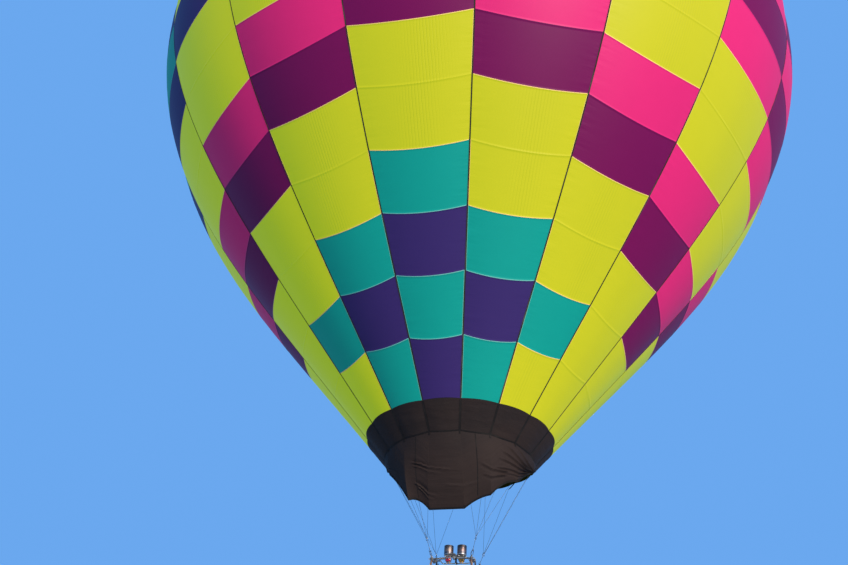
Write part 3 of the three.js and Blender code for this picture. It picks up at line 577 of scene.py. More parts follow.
@dataclass(frozen=True)
class Wood(Finish):
    """Sealed wood with its grain along one axis."""

    slot: str = "plywood"
    roughness: float = 0.5
    dark: Colour = linear(96, 62, 34)
    stretch: tuple[float, float, float] = (14.0, 1.0, 14.0)

    def dress(self, shop: Tree, skin: bpy.types.Node) -> None:
        """Adds grain, rubbed edges and trodden dust."""
        place = shop.on_piece()
        grain = shop.group(GRAIN, Vector=shop.stretched(place, self.stretch), Colour=self.colour,
                           Streak_Colour=self.dark, Scale=5.0)
        worn = shop.group(WEAR, Vector=place, Colour=grain.outputs["Colour"],
                          Bare_Colour=linear(200, 172, 128),
                          Scale=45.0, Amount=0.7)
        dusty = shop.group(DUST, Vector=place, Colour=worn.outputs["Colour"], Scale=4.0, Amount=0.5)
        shop.fill(skin, Base_Color=dusty.outputs["Colour"],
                  Roughness=shop.ramp(grain.outputs["Height"], 0.3, 0.7, self.roughness, 0.7))
        self.relief(shop, skin, grain.outputs["Height"], 0.0008)


STEEL = Metal("stainless_tube", linear(176, 178, 182), slot="stainless_steel")
GUNMETAL = Metal("gunmetal", linear(62, 64, 70), slot="dark_steel", streak=linear(44, 45, 50))
HEATED_STEEL = HeatTinted("heat_tinted_steel", linear(170, 160, 150))
ALUMINIUM = Metal("satin_aluminium", linear(196, 198, 202), roughness=0.34)
BRASS = Metal("cast_brass", linear(176, 132, 66), slot="brass", roughness=0.32, streak=linear(120, 84, 40))
WIRE_ROPE = StrandedWire("wire_rope", linear(74, 76, 82))
DARK_PAINT = Paint("dark_paint", linear(46, 47, 50))
CRIMSON_PAINT = Paint("valve_crimson", linear(150, 22, 44), slot="crimson_paint", roughness=0.32, gloss=0.5)
TAN_LEATHER = Leather("padded_leather", linear(70, 46, 34))
PALE_THREAD = Webbing("waxed_thread", linear(214, 196, 158), slot="leather")
WILLOW = Cane("willow_cane", linear(196, 146, 84))
PLYWOOD = Wood("sealed_plywood", linear(186, 148, 96))
ASH = Wood("oiled_ash", linear(124, 84, 50), slot="hardwood")
BLACK_RUBBER = Leather("black_rubber", linear(22, 22, 24), slot="dark_steel", rubbed=linear(58, 57, 56))
STRAP = Webbing("cylinder_strap", linear(40, 42, 48), slot="leather")
JACKET = Leather("cylinder_jacket", linear(34, 44, 66), slot="leather", rubbed=linear(78, 88, 110))


# Mesh making


def select_only(*chosen: bpy.types.Object) -> None:
    """Selects these objects alone and makes the first one active."""
    bpy.ops.object.select_all(action="DESELECT")
    for obj in chosen:
        obj.select_set(True)
    bpy.context.view_layer.objects.active = chosen[0]


def apply_modifier(obj: bpy.types.Object, kind: str, **settings: object) -> None:
    """Adds a modifier with these settings and applies it."""
    made = obj.modifiers.new(kind.lower(), kind)
    for name, value in settings.items():
        setattr(made, name, value)
    select_only(obj)
    bpy.ops.object.modifier_apply(modifier=made.name)


def smooth(obj: bpy.types.Object, angle: float) -> bpy.types.Object:
    """Shades an object smooth, up to an angle in degrees between its faces."""
    select_only(obj)
    bpy.ops.object.shade_smooth_by_angle(angle=math.radians(angle))
    return obj


def add_mesh(name: str, places: Sequence[Sequence[float]],
             faces: Sequence[Sequence[int]]) -> bpy.types.Object:
    """Adds an object made of these points and faces."""
    mesh = bpy.data.meshes.new(name)
    mesh.from_pydata(places, [], faces)
    obj = bpy.data.objects.new(name, mesh)
    bpy.context.scene.collection.objects.link(obj)
    return obj


def give(mesh: bpy.types.Mesh, label: str, values: np.ndarray) -> None:
    """Gives each point of a mesh its value of a named mask."""
    made = mesh.attributes.new(label, "FLOAT", "POINT")
    made.data.foreach_set("value", values.astype(np.float32).ravel())


def lay_flat(mesh: bpy.types.Mesh, flat: Sequence[Sequence[float]]) -> None:
    """Gives each face corner its place on the flat cloth, in metres."""
    mesh.uv_layers.new(name="cloth").data.foreach_set("uv", np.array(flat, np.float32).ravel())


def array(points: Iterable[Vector]) -> np.ndarray:
    """Turns a line of points into rows of numbers."""
    return np.array([tuple(point) for point in points])


def run_along(points: np.ndarray) -> np.ndarray:
    """Returns how far along a line each of its points lies."""
    return np.concatenate([[0.0], np.cumsum(np.linalg.norm(np.diff(points, axis=0), axis=1))])


def circle(centre: Vector, radius: float, count: int, across: Vector = X, up: Vector = Y) -> list[Vector]:
    """Returns points round a circle, from one direction towards the other."""
    turns = [TURN * i / count for i in range(count)]
    return [centre + (across * math.cos(turn) + up * math.sin(turn)) * radius for turn in turns]


def eased(share: float) -> float:
    """Returns a share, held within 0 and 1, that starts and ends gently."""
    share = min(1.0, max(0.0, share))
    return share * share * (3.0 - 2.0 * share)


def dip(distance: float, width: float) -> float:
    """Returns a bell curve's height, which is 1 at no distance."""
    return math.exp(-(distance / width) ** 2)


@dataclass
class Sheet:
    """Rows and columns of points that become one piece of cloth.

    Args:
        points: places by row and column, in metres.
        flat: the same points on the flat cut cloth, in metres.
        slots: the material's number for each cell.
        wrap: whether the last column meets the first.
    """

    points: np.ndarray
    flat: np.ndarray
    slots: np.ndarray | None = None
    wrap: bool = False
    masks: dict[str, np.ndarray] = field(default_factory=dict)

    def make(self, name: str, finishes: Sequence[Finish], thickness: float,
             grow: float = -1.0) -> bpy.types.Object:
        """Makes the cloth as a closed mesh.

        Args:
            name: the object's name.
            finishes: its materials, in the order of the slots' numbers.
            thickness: of the cloth.
            grow: -1 to thicken behind the points, 1 to thicken in front of them.

        Returns:
            The new object.
        """
        rows, columns = self.points.shape[:2]
        kept = columns - 1 if self.wrap else columns
        faces, corners = [], []
        for row in range(rows - 1):
            for column in range(columns - 1):
                ring = ((row, column), (row, column + 1), (row + 1, column + 1), (row + 1, column))
                faces.append([r * kept + c % kept for r, c in ring])
                corners.extend(ring)
        obj = add_mesh(name, self.points[:, :kept].reshape(-1, 3).tolist(), faces)
        lay_flat(obj.data, [self.flat[r, c] for r, c in corners])
        if self.slots is not None:
            obj.data.polygons.foreach_set("material_index", self.slots.astype(np.int32).ravel())
        for label, mask in self.masks.items():
            give(obj.data, label, mask[:, :kept])
        for finish in finishes:
            obj.data.materials.append(finish.material())
        apply_modifier(obj, "SOLIDIFY", thickness=thickness, offset=grow, use_even_offset=False)
        return smooth(obj, 40.0)


def join(name: str, pieces: Sequence[bpy.types.Object]) -> bpy.types.Object:
    """Joins objects into one and names it."""
    select_only(*pieces)
    if len(pieces) > 1:
        bpy.ops.object.join()
    joined = bpy.context.view_layer.objects.active
    joined.name = name
    joined.data.name = name
    return joined


def place_piece(obj: bpy.types.Object, body: str, slot: str, *nodes: str) -> bpy.types.Object:
    """Makes a piece ride on a body and stand for CAD nodes, whose meshes it hides."""
    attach(obj, body)
    if nodes:
        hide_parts(*nodes)
    log.info("%s rides on %s", obj.name, body)
    return obj


# Shaping by hand


class Bench:
    """Holds one object in edit mode while its faces and edges are picked and shaped."""

    def __init__(self, obj: bpy.types.Object) -> None:
        """Keeps the object to be shaped."""
        self.obj = obj

    def __enter__(self) -> "Bench":
        """Opens the object with nothing picked."""
        select_only(self.obj)
        bpy.ops.object.mode_set(mode="EDIT")
        bpy.ops.mesh.select_all(action="DESELECT")
        return self

    def __exit__(self, *problem: object) -> None:
        """Closes the object again."""
        bpy.ops.object.mode_set(mode="OBJECT")

    def pick(self, mode: str, test: Callable[[object], bool]) -> None:
        """Picks the faces, edges or points that pass a test.

        Args:
            mode: FACE, EDGE or VERT.
            test: takes a bmesh face, edge or point.
        """
        bpy.ops.mesh.select_mode(type=mode)
        bpy.ops.mesh.select_all(action="DESELECT")
        work = bmesh.from_edit_mesh(self.obj.data)
        for part in {"FACE": work.faces, "EDGE": work.edges, "VERT": work.verts}[mode]:
            part.select_set(bool(test(part)))
        work.select_flush_mode()
        bmesh.update_edit_mesh(self.obj.data)


def start(kind: str, **settings: object) -> bpy.types.Object:
    """Adds a primitive with nothing else selected, and puts its place into its mesh."""
    bpy.ops.object.select_all(action="DESELECT")
    getattr(bpy.ops.mesh, f"primitive_{kind}_add")(**settings)
    bpy.ops.object.transform_apply(location=True, rotation=True, scale=True)
    return bpy.context.object


def wear_edges(obj: bpy.types.Object, band: float = 0.003) -> None:
    """Insets the flat faces a little, and marks the points on sharp edges for the wear of the paint."""
    with Bench(obj) as bench:
        bench.pick("FACE", lambda face: face.calc_area() > (7.0 * band) ** 2)
        bpy.ops.mesh.inset(thickness=band, use_individual=True)
    work = bmesh.new()
    work.from_mesh(obj.data)
    sharp = [max((edge.calc_face_angle(0.0) for edge in point.link_edges), default=0.0)
             for point in work.verts]
    work.free()
    give(obj.data, "edge", np.clip((np.array(sharp) - 0.25) / 0.4, 0.0, 1.0))


def finish_piece(obj: bpy.types.Object, name: str, finish: Finish, angle: float = 40.0,
                 worn: bool = True) -> bpy.types.Object:
    """Names a shaped piece, marks its edges, and gives it its finish and its shading."""
    obj.name = name
    obj.data.name = name
    if worn:
        wear_edges(obj)
    obj.data.materials.clear()
    obj.data.materials.append(finish.material())
    return smooth(obj, angle)


def moved(obj: bpy.types.Object, place: Matrix) -> bpy.types.Object:
    """Moves an object's mesh, and leaves the object at the origin."""
    obj.data.transform(place)
    obj.data.update()
    return obj


def axes(across: Vector, along: Vector, up: Vector, origin: Vector) -> Matrix:
    """Returns the matrix that takes X, Y and Z to these directions, from an origin."""
    rows = [(across[i], along[i], up[i], origin[i]) for i in range(3)]
    return Matrix((*rows, (0.0, 0.0, 0.0, 1.0)))


def block(name: str, finish: Finish, low: Sequence[float], high: Sequence[float], bevel: float = 0.003,
          segments: int = 2) -> bpy.types.Object:
    """Makes a block with rounded edges from its lowest to its highest corner."""
    low, high = Vector(low), Vector(high)
    obj = start("cube", size=1.0, location=(low + high) / 2.0, scale=high - low)
    with Bench(obj):
        bpy.ops.mesh.select_all(action="SELECT")
        bpy.ops.mesh.bevel(offset=bevel, segments=segments, affect="EDGES")
    return finish_piece(obj, name, finish)


def draw_up(rings: Profile) -> None:
    """Draws the selected ring of edges out through the next rings, each given as its radius and height."""
    for (radius, height), (wider, higher) in zip(rings, rings[1:]):
        bpy.ops.mesh.extrude_edges_indiv()
        bpy.ops.transform.translate(value=(0.0, 0.0, higher - height))
        bpy.ops.transform.resize(value=(wider / radius, wider / radius, 1.0),
                                 center_override=(0.0, 0.0, higher))


def face_outwards() -> None:
    """Turns all the faces of the object in edit mode outwards."""
    bpy.ops.mesh.select_all(action="SELECT")
    bpy.ops.mesh.normals_make_consistent(inside=False)


def turned(name: str, finish: Finish, profile: Profile, segments: int = 48, place: Matrix = Matrix(),
           loop: bool = False, worn: bool = False) -> bpy.types.Object:
    """Makes a round piece about Z, drawn out ring by ring.

    Args:
        name: its name.
        finish: its finish.
        profile: radius and height of each ring, none on the axis; the end rings are filled.
        segments: points round it.
        place: where it goes, from the origin.
        loop: whether the last ring joins the first, as in a tube with a bore.
        worn: whether its paint is worn along its edges.
    """
    obj = start("circle", vertices=segments, radius=profile[0][0], location=(0.0, 0.0, profile[0][1]))
    with Bench(obj):
        bpy.ops.mesh.select_all(action="SELECT")
        draw_up(profile)
        bpy.ops.mesh.select_all(action="SELECT")
        bpy.ops.mesh.remove_doubles(threshold=1e-6)
        if not loop:
            bpy.ops.mesh.select_mode(type="EDGE")
            bpy.ops.mesh.select_all(action="DESELECT")
            bpy.ops.mesh.select_non_manifold()
            bpy.ops.mesh.edge_face_add()
        face_outwards()
    return moved(finish_piece(obj, name, finish, 35.0, worn), place)


def sleeve(name: str, finish: Finish, bore: float, outer: float, low: float, high: float, segments: int = 32,
           place: Matrix = Matrix()) -> bpy.types.Object:
    """Makes a plain ring or bush about Z, from its bore to its outer radius and from low to high."""
    profile = ((bore, low), (outer, low), (outer, high), (bore, high), (bore, low))
    return turned(name, finish, profile, segments, place, loop=True)


def between(low: Vector, high: Vector) -> Matrix:
    """Returns the matrix that takes the origin to one point and the Z direction towards another."""
    return Matrix.Translation(low) @ (high - low).to_track_quat("Z", "Y").to_matrix().to_4x4()


def bar(name: str, finish: Finish, low: Sequence[float], high: Sequence[float], radius: float,
        chamfer: float = 0.001, segments: int = 24) -> bpy.types.Object:
    """Makes a round bar with chamfered ends between two points."""
    low, high = Vector(low), Vector(high)
    length = (high - low).length
    profile = ((radius - chamfer, 0.0), (radius, chamfer), (radius, length - chamfer),
               (radius - chamfer, length))
    return turned(name, finish, profile, segments, between(low, high))


def nut(name: str, finish: Finish, centre: Sequence[float], axis: Sequence[float], across: float,
        height: float) -> bpy.types.Object:
    """Makes a six-sided nut with chamfered corners on an axis."""
    obj = start("cylinder", vertices=6, radius=across / math.sqrt(3.0), depth=height)
    with Bench(obj) as bench:
        bench.pick("EDGE", lambda edge: abs(edge.verts[0].co.z - edge.verts[1].co.z) < 1e-6)
        bpy.ops.mesh.bevel(offset=0.08 * across, segments=2, affect="EDGES")
    centre, axis = Vector(centre), Vector(axis)
    return moved(finish_piece(obj, name, finish, 30.0, False), between(centre, centre + axis))


def tube(name: str, finish: Finish, points: Iterable[Vector], radius: float, closed: bool = False,
         resolution: int = 5) -> bpy.types.Object:
    """Makes a round tube along a line of points."""
    points = [Vector(point) for point in points]
    curve = bpy.data.curves.new(name, "CURVE")
    curve.dimensions = "3D"
    curve.bevel_depth = radius
    curve.bevel_resolution = resolution
    curve.use_fill_caps = True
    spline = curve.splines.new("POLY")
    spline.points.add(len(points) - 1)
    for knot, point in zip(spline.points, points):
        knot.co = (*point, 1.0)
    spline.use_cyclic_u = closed
    obj = bpy.data.objects.new(name, curve)
    bpy.context.scene.collection.objects.link(obj)
    select_only(obj)
    bpy.ops.object.convert(target="MESH")
    return finish_piece(bpy.context.object, name, finish, 50.0, False)


def eye_plate(name: str, finish: Finish, hole: float, width: float, reach: float,
              thickness: float) -> bpy.types.Object:
    """Makes a plate with a round end and a hole, standing on X with its hole at the origin."""
    obj = start("circle", vertices=32, radius=hole)
    ratio = width / 2.0 / hole
    with Bench(obj) as bench:
        bpy.ops.mesh.select_all(action="SELECT")
        bpy.ops.mesh.extrude_edges_indiv()
        bpy.ops.transform.resize(value=(ratio, ratio, 1.0), center_override=(0.0, 0.0, 0.0))
        bench.pick("VERT", lambda point: point.co.y < -1e-4 and point.co.length > 1.01 * hole)
        bpy.ops.transform.resize(value=(1.0, 0.0, 1.0), center_override=(0.0, 0.0, 0.0))
        bpy.ops.transform.translate(value=(0.0, -reach, 0.0))
    apply_modifier(obj, "SOLIDIFY", thickness=thickness, offset=0.0)
    apply_modifier(obj, "BEVEL", width=0.0012, segments=2, limit_method="ANGLE",
                   angle_limit=math.radians(50.0))
    return moved(finish_piece(obj, name, finish, 35.0), axes(Y, Z, X, Vector()))


def strands(name: str, finish: Finish, paths: Sequence[np.ndarray], radii: Sequence[float], sides: int,
            closed: Sequence[bool], reference: tuple[float, float, float], seed: int = 7) -> bpy.types.Object:
    """Makes many round strands as one mesh, each with its own tone and a UV along it.

    Args:
        name: the object's name.
        finish: its finish.
        paths: one row of points for each strand.
        radii: one radius for each strand.
        sides: faces round each strand.
        closed: whether each strand's ends meet.
        reference: a direction that no strand runs along.
        seed: for the tones.
    """
    random = np.random.default_rng(seed)
    places, faces, flat, tones = [], [], [], []
    base = 0
    angles = (np.arange(sides) + 0.5) * TURN / sides
    for path, radius, whole in zip(paths, radii, closed):
        along = np.roll(path, -1, axis=0) - np.roll(path, 1, axis=0)
        if not whole:
            along[0], along[-1] = path[1] - path[0], path[-1] - path[-2]
        along /= np.linalg.norm(along, axis=1)[:, None]
        across = np.cross(along, np.array(reference))
        across /= np.linalg.norm(across, axis=1)[:, None]
        up = np.cross(across, along)
        rings = (path[:, None] + radius * (np.cos(angles)[None, :, None] * across[:, None]
                                           + np.sin(angles)[None, :, None] * up[:, None]))
        count = len(path)
        places.append(rings.reshape(-1, 3))
        tones.append(np.full(count * sides, random.random()))
        run = run_along(path)
        shift = random.random() * 5.0
        for i in range(count if whole else count - 1):
            j = (i + 1) % count
            ahead = run[j] if j else run[-1] + (run[-1] - run[-2])
            here, there = base + i * sides, base + j * sides
            for k in range(sides):
                m = (k + 1) % sides
                faces.append((here + k, here + m, there + m, there + k))
                flat.extend(((run[i] + shift, k / sides), (run[i] + shift, (k + 1) / sides),
                             (ahead + shift, (k + 1) / sides), (ahead + shift, k / sides)))
        if not whole:
            for ring, turn in ((0, -1), (count - 1, 1)):
                corners = [base + ring * sides + k for k in range(sides)][::turn]
                faces.append(corners)
                flat.extend([(run[ring] + shift, 0.5)] * sides)
        base += count * sides
    obj = add_mesh(name, np.concatenate(places).tolist(), faces)
    lay_flat(obj.data, flat)
    give(obj.data, "tone", np.concatenate(tones))
    obj.data.materials.append(finish.material())
    return smooth(obj, 70.0)


SLANT = (0.301, 0.523, 0.797)


def stitches(name: str, finish: Finish, line: Sequence[Vector], outwards: Sequence[Vector],
             spacing: float = 0.012,
             length: float = 0.007, radius: float = 0.0009) -> bpy.types.Object:
    """Makes a row of stitches along a line, each a short bowed thread that stands just out of the surface."""
    points, normals = array(line), array(outwards)
    run = run_along(points)
    paths = []
    for middle in np.arange(spacing / 2.0, run[-1], spacing):
        stitch = []
        for share, rise in ((-0.5, -0.6), (-0.3, 0.5), (0.3, 0.5), (0.5, -0.6)):
            spot = middle + share * length
            place = np.array([np.interp(spot, run, points[:, i]) for i in range(3)])
            away = np.array([np.interp(spot, run, normals[:, i]) for i in range(3)])
            stitch.append(place + away / np.linalg.norm(away) * rise * radius)
        paths.append(np.array(stitch))
    return strands(name, finish, paths, [radius] * len(paths), 4, [False] * len(paths), SLANT)


# Envelope


@dataclass(frozen=True)
class Station:
    """One height of the envelope: the tapes' radius, height and slope from the vertical."""

    radius: float
    height: float
    slope: float


@dataclass
class Shell:
    """The surface of the envelope, from the mouth at row -1 over the ring at row 0 to the crown."""

    gores: int = 16
    rows: int = 17
    row_length: float = 1.45
    ring: Station = Station(2.262, -11.958, math.radians(39.53))
    mouth: Station = Station(1.7875, -12.533, math.radians(39.53))
    neutral_height: float = -10.187
    turn_rate: float = 1.5098e-3
    crown_radius: float = 0.15
    bulge_share: float = 0.07
    step: float = 0.01

    def __post_init__(self) -> None:
        """Walks up the natural curve from the ring to the crown."""
        radius, height, slope = self.ring.radius, self.ring.height, self.ring.slope
        self.walk = [self.ring]
        while radius > self.crown_radius:
            slope -= self.turn_rate * radius * (height - self.neutral_height) * self.step
            radius += math.sin(slope) * self.step
            height += math.cos(slope) * self.step
            self.walk.append(Station(radius, height, slope))
        self.top_row = (len(self.walk) - 1) * self.step / self.row_length

    @property
    def gore_angle(self) -> float:
        """The angle that one gore spans."""
        return TURN / self.gores

    def station(self, row: float) -> Station:
        """Returns the tapes' place at a row, between rows too."""
        if row <= 0.0:
            share = min(1.0, -row)
            low, high = self.ring, self.mouth
        else:
            walked = min(row * self.row_length / self.step, len(self.walk) - 1.001)
            share = walked - int(walked)
            low, high = self.walk[int(walked)], self.walk[int(walked) + 1]
        return Station(low.radius + (high.radius - low.radius) * share,
                       low.height + (high.height - low.height) * share,
                       low.slope + (high.slope - low.slope) * share)

    def tape(self, azimuth: float, row: float, out: float = 0.0) -> Vector:
        """Returns a point of the tapes' surface, out from it along its normal."""
        here = self.station(row)
        radius = here.radius + out * math.cos(here.slope)
        height = here.height - out * math.sin(here.slope)
        return Vector((radius * math.sin(azimuth), -radius * math.cos(azimuth), height))

    def cloth(self, gore: int, row: float, across: float, out: float = 0.0) -> Vector:
        """Returns a point of a bulged gore.

        Args:
            gore: its number, from the front towards +X.
            row: rows above the ring.
            across: from -1 at the left tape to 1 at the right one.
            out: distance in front of the cloth.

        Returns:
            The point, in metres.
        """
        middle = gore * self.gore_angle
        left = self.tape(middle - self.gore_angle / 2, row, out)
        right = self.tape(middle + self.gore_angle / 2, row, out)
        slope = self.station(row).slope
        away = Vector((math.sin(middle) * math.cos(slope), -math.cos(middle) * math.cos(slope),
                       -math.sin(slope)))
        rise = self.bulge_share * (right - left).length * (1.0 - across * across)
        return left.lerp(right, (across + 1.0) / 2.0) + away * rise

    def width(self, row: float) -> float:
        """Returns the straight distance between two tapes."""
        return 2.0 * self.station(row).radius * math.sin(self.gore_angle / 2)


SHELL = Shell()


def panel_cloth(gore: int, row: int) -> Cloth:
    """Returns the colour of one panel.

    Two zigzags run round the envelope, with diamonds of small panels below, between and above them.

    Args:
        gore: the gore's number, from the front towards +X.
        row: the panel's number, from 1 above the mouth band.
    """
    front_row, side_row, mirror_row = 2, 9, 19
    folded = gore % 8
    away = min(folded, 8 - folded)
    side_ring = abs(gore % 16 - (4 if gore % 16 < 8 else 12)) + abs(row - side_row)
    if side_ring <= 2:
        bright = gore % 16 < 8
        rings = (Cloth.PINK, Cloth.PLUM, Cloth.PINK) if bright else (Cloth.VIOLET, Cloth.TEAL, Cloth.VIOLET)
        return rings[side_ring]
    low = row if row <= side_row else mirror_row - row
    if low == 7 - away:
        return Cloth.PLUM
    if low == 8 - away:
        return Cloth.PINK
    front_ring = away + abs(low - front_row)
    if low < 5 - away and front_ring <= 2:
        return (Cloth.TEAL, Cloth.VIOLET, Cloth.TEAL)[front_ring]
    return Cloth.LIME


def seam_cloth(below: Cloth, above: Cloth) -> Cloth:
    """Returns the colour that a seam between two panels shows, which is that of the paler one."""
    if below is above:
        return below
    pale = {Cloth.LIME: Cloth.CREAM_SEAM, Cloth.TEAL: Cloth.MINT_SEAM}
    return next((seam for cloth, seam in pale.items() if cloth in (below, above)), below)


@dataclass
class Envelope:
    """The sixteen gores and their load tapes."""

    shell: Shell
    columns: int = 14
    panel_steps: int = 7
    cloth_thickness: float = 0.003
    seam_half: float = 0.013
    seam_top: float = 0.009
    seam_rise: float = 0.0025
    sag_share: float = 0.040
    edge_gap: float = 0.0005
    gather_width: float = 0.32
    pucker_reach: float = 0.5
    tape_gap: float = 0.001
    tape_half: float = 0.017
    selvedge: float = 0.009
    tape_thickness: float = 0.0022

    def gore_rows(self) -> list[tuple[float, float, int]]:
        """Returns the rows of points as (row, rise of the cloth, number of the panel or seam above).

        Panels count from 1, and the seam above panel n counts as -n.
        """
        half, top = (value / self.shell.row_length for value in (self.seam_half, self.seam_top))
        rows = []
        for panel in range(1, self.shell.rows + 1):
            start = panel - 1 + (half if panel > 1 else 0.0)
            end = panel - (half if panel < self.shell.rows else 0.0)
            for step in range(self.panel_steps):
                share = step / self.panel_steps
                share -= 0.9 * math.sin(TURN * share) / TURN
                rows.append((start + (end - start) * share, 0.0, panel))
            if panel < self.shell.rows:
                rows.append((panel - half, 0.0, panel))
                rows.append((panel - top, self.seam_rise, -panel))
                rows.append((panel + top, self.seam_rise, panel + 1))
        rows.append((float(self.shell.rows), 0.0, self.shell.rows))
        return rows

    def sag(self, row: float) -> float:
        """Returns how many rows a cross seam hangs down at the middle of a gore."""
        held = min(1.0, row, self.shell.rows - row)
        return self.sag_share * self.shell.width(row) / self.shell.row_length * max(0.0, held)

    def make_gore(self, gore: int) -> bpy.types.Object:
        """Makes one gore with its coloured panels, raised cross seams and masks for its shader."""
        rows = self.gore_rows()
        across = np.linspace(-1.0, 1.0, self.columns + 1)
        points = np.zeros((len(rows), len(across), 3))
        flat = np.zeros((len(rows), len(across), 2))
        gather_and_shade = np.zeros((len(rows), len(across)))
        pucker = np.zeros((len(rows), len(across)))
        slots = np.zeros((len(rows) - 1, len(across) - 1), int)
        angle = gore * self.shell.gore_angle
        sideways = Vector((math.cos(angle), math.sin(angle), 0.0))
        for i, (row, rise, part) in enumerate(rows):
            panel = abs(part)
            shown = panel_cloth(gore, panel)
            centre = 0.25 * math.sin(2.1 * gore + 1.3 * panel)
            for j, side in enumerate(across):
                hung = row - self.sag(row) * (1.0 - side * side)
                points[i, j] = self.shell.cloth(gore, hung, float(side), rise)
                if abs(side) == 1.0:
                    points[i, j] -= sideways * self.edge_gap * side
                flat[i, j] = (side * self.shell.width(row) / 2, hung * self.shell.row_length)
                # This mask places the gathers' folds, which the shader bumps and darkens with painted shade
                gather_and_shade[i, j] = dip(side - centre, self.gather_width) if shown is Cloth.LIME else 0.0
                pucker[i, j] = math.exp((abs(side) - 1.0) * self.shell.width(row) / self.pucker_reach)
            if i < len(slots):
                seam = part < 0
                slots[i] = CLOTHS.index(seam_cloth(shown, panel_cloth(gore, panel + 1)) if seam else shown)
        sheet = Sheet(points, flat, slots, masks={"gather_and_shade": gather_and_shade, "pucker": pucker})
        name = f"envelope_gore_{gore + 1:02d}"
        obj = sheet.make(name, [cloth.value for cloth in CLOTHS], self.cloth_thickness)
        place_piece(obj, "balloon", "envelope_fabric", f"gore_{gore + 1:02d}")
        widths = [self.shell.width(row) * (1.0 + 8.0 / 3.0 * self.shell.bulge_share ** 2)
                  for row, _, _ in rows]
        lengths = np.diff([row * self.shell.row_length for row, _, _ in rows])
        area = float(sum(lengths * (np.array(widths[:-1]) + np.array(widths[1:])) / 2))
        return obj

    def valley(self, row: float) -> float:
        """Returns how steeply the gores rise on both sides of a tape."""
        slope = self.shell.station(row).slope
        return max(0.0, 4.0 * self.shell.bulge_share - math.tan(self.shell.gore_angle / 2) * math.cos(slope))

    def edge_cloth(self, gore: int, panel: int, neighbour: int) -> Cloth:
        """Returns the colour of the felled edge that a gore's panel shows beside a tape."""
        own = panel_cloth(gore, panel)
        seam = seam_cloth(own, panel_cloth(neighbour, panel))
        darker = {Cloth.CREAM_SEAM: Cloth.LIME, Cloth.MINT_SEAM: Cloth.TEAL}
        return seam if darker.get(seam, own) is own else own

    def make_tapes(self) -> bpy.types.Object:
        """Makes the load tapes, which lie in the valleys between the gores, over the gores' felled edges."""
        rows = np.concatenate([np.linspace(-1.0, 0.0, 7)[:-1], np.arange(self.shell.rows * 8) / 8.0,
                               np.linspace(self.shell.rows, self.shell.top_row, 14)])
        edge = self.tape_half + self.selvedge
        sides = (-edge, -self.tape_half, 0.0, self.tape_half, edge)
        tapes = []
        for index in range(self.shell.gores):
            azimuth = (index + 0.5) * self.shell.gore_angle
            sideways = Vector((math.cos(azimuth), math.sin(azimuth), 0.0))
            points = np.zeros((len(rows), len(sides), 3))
            flat = np.zeros((len(rows), len(sides), 2))
            slots = np.full((len(rows) - 1, len(sides) - 1), len(CLOTHS))
            for i, row in enumerate(rows):
                for j, side in enumerate(sides):
                    narrowed = side * min(1.0, self.shell.station(row).radius / 0.45)
                    out = self.tape_gap + abs(narrowed) * self.valley(row)
                    points[i, j] = self.shell.tape(azimuth, row, out) + sideways * narrowed
                    flat[i, j] = (side, row * self.shell.row_length)
                if row < -0.01:
                    slots[i] = len(CLOTHS) + 1
                elif i < len(slots):
                    panel = min(int(row + 1e-6) + 1, self.shell.rows)
                    after = (index + 1) % self.shell.gores
                    slots[i, 0] = CLOTHS.index(self.edge_cloth(index, panel, after))
                    slots[i, -1] = CLOTHS.index(self.edge_cloth(after, panel, index))
            finishes = [*(cloth.value for cloth in CLOTHS), DARK_WEBBING, BINDING]
            tapes.append(Sheet(points, flat, slots).make("tape", finishes, self.tape_thickness, 1.0))
        return join("load_tapes_sewn", tapes)


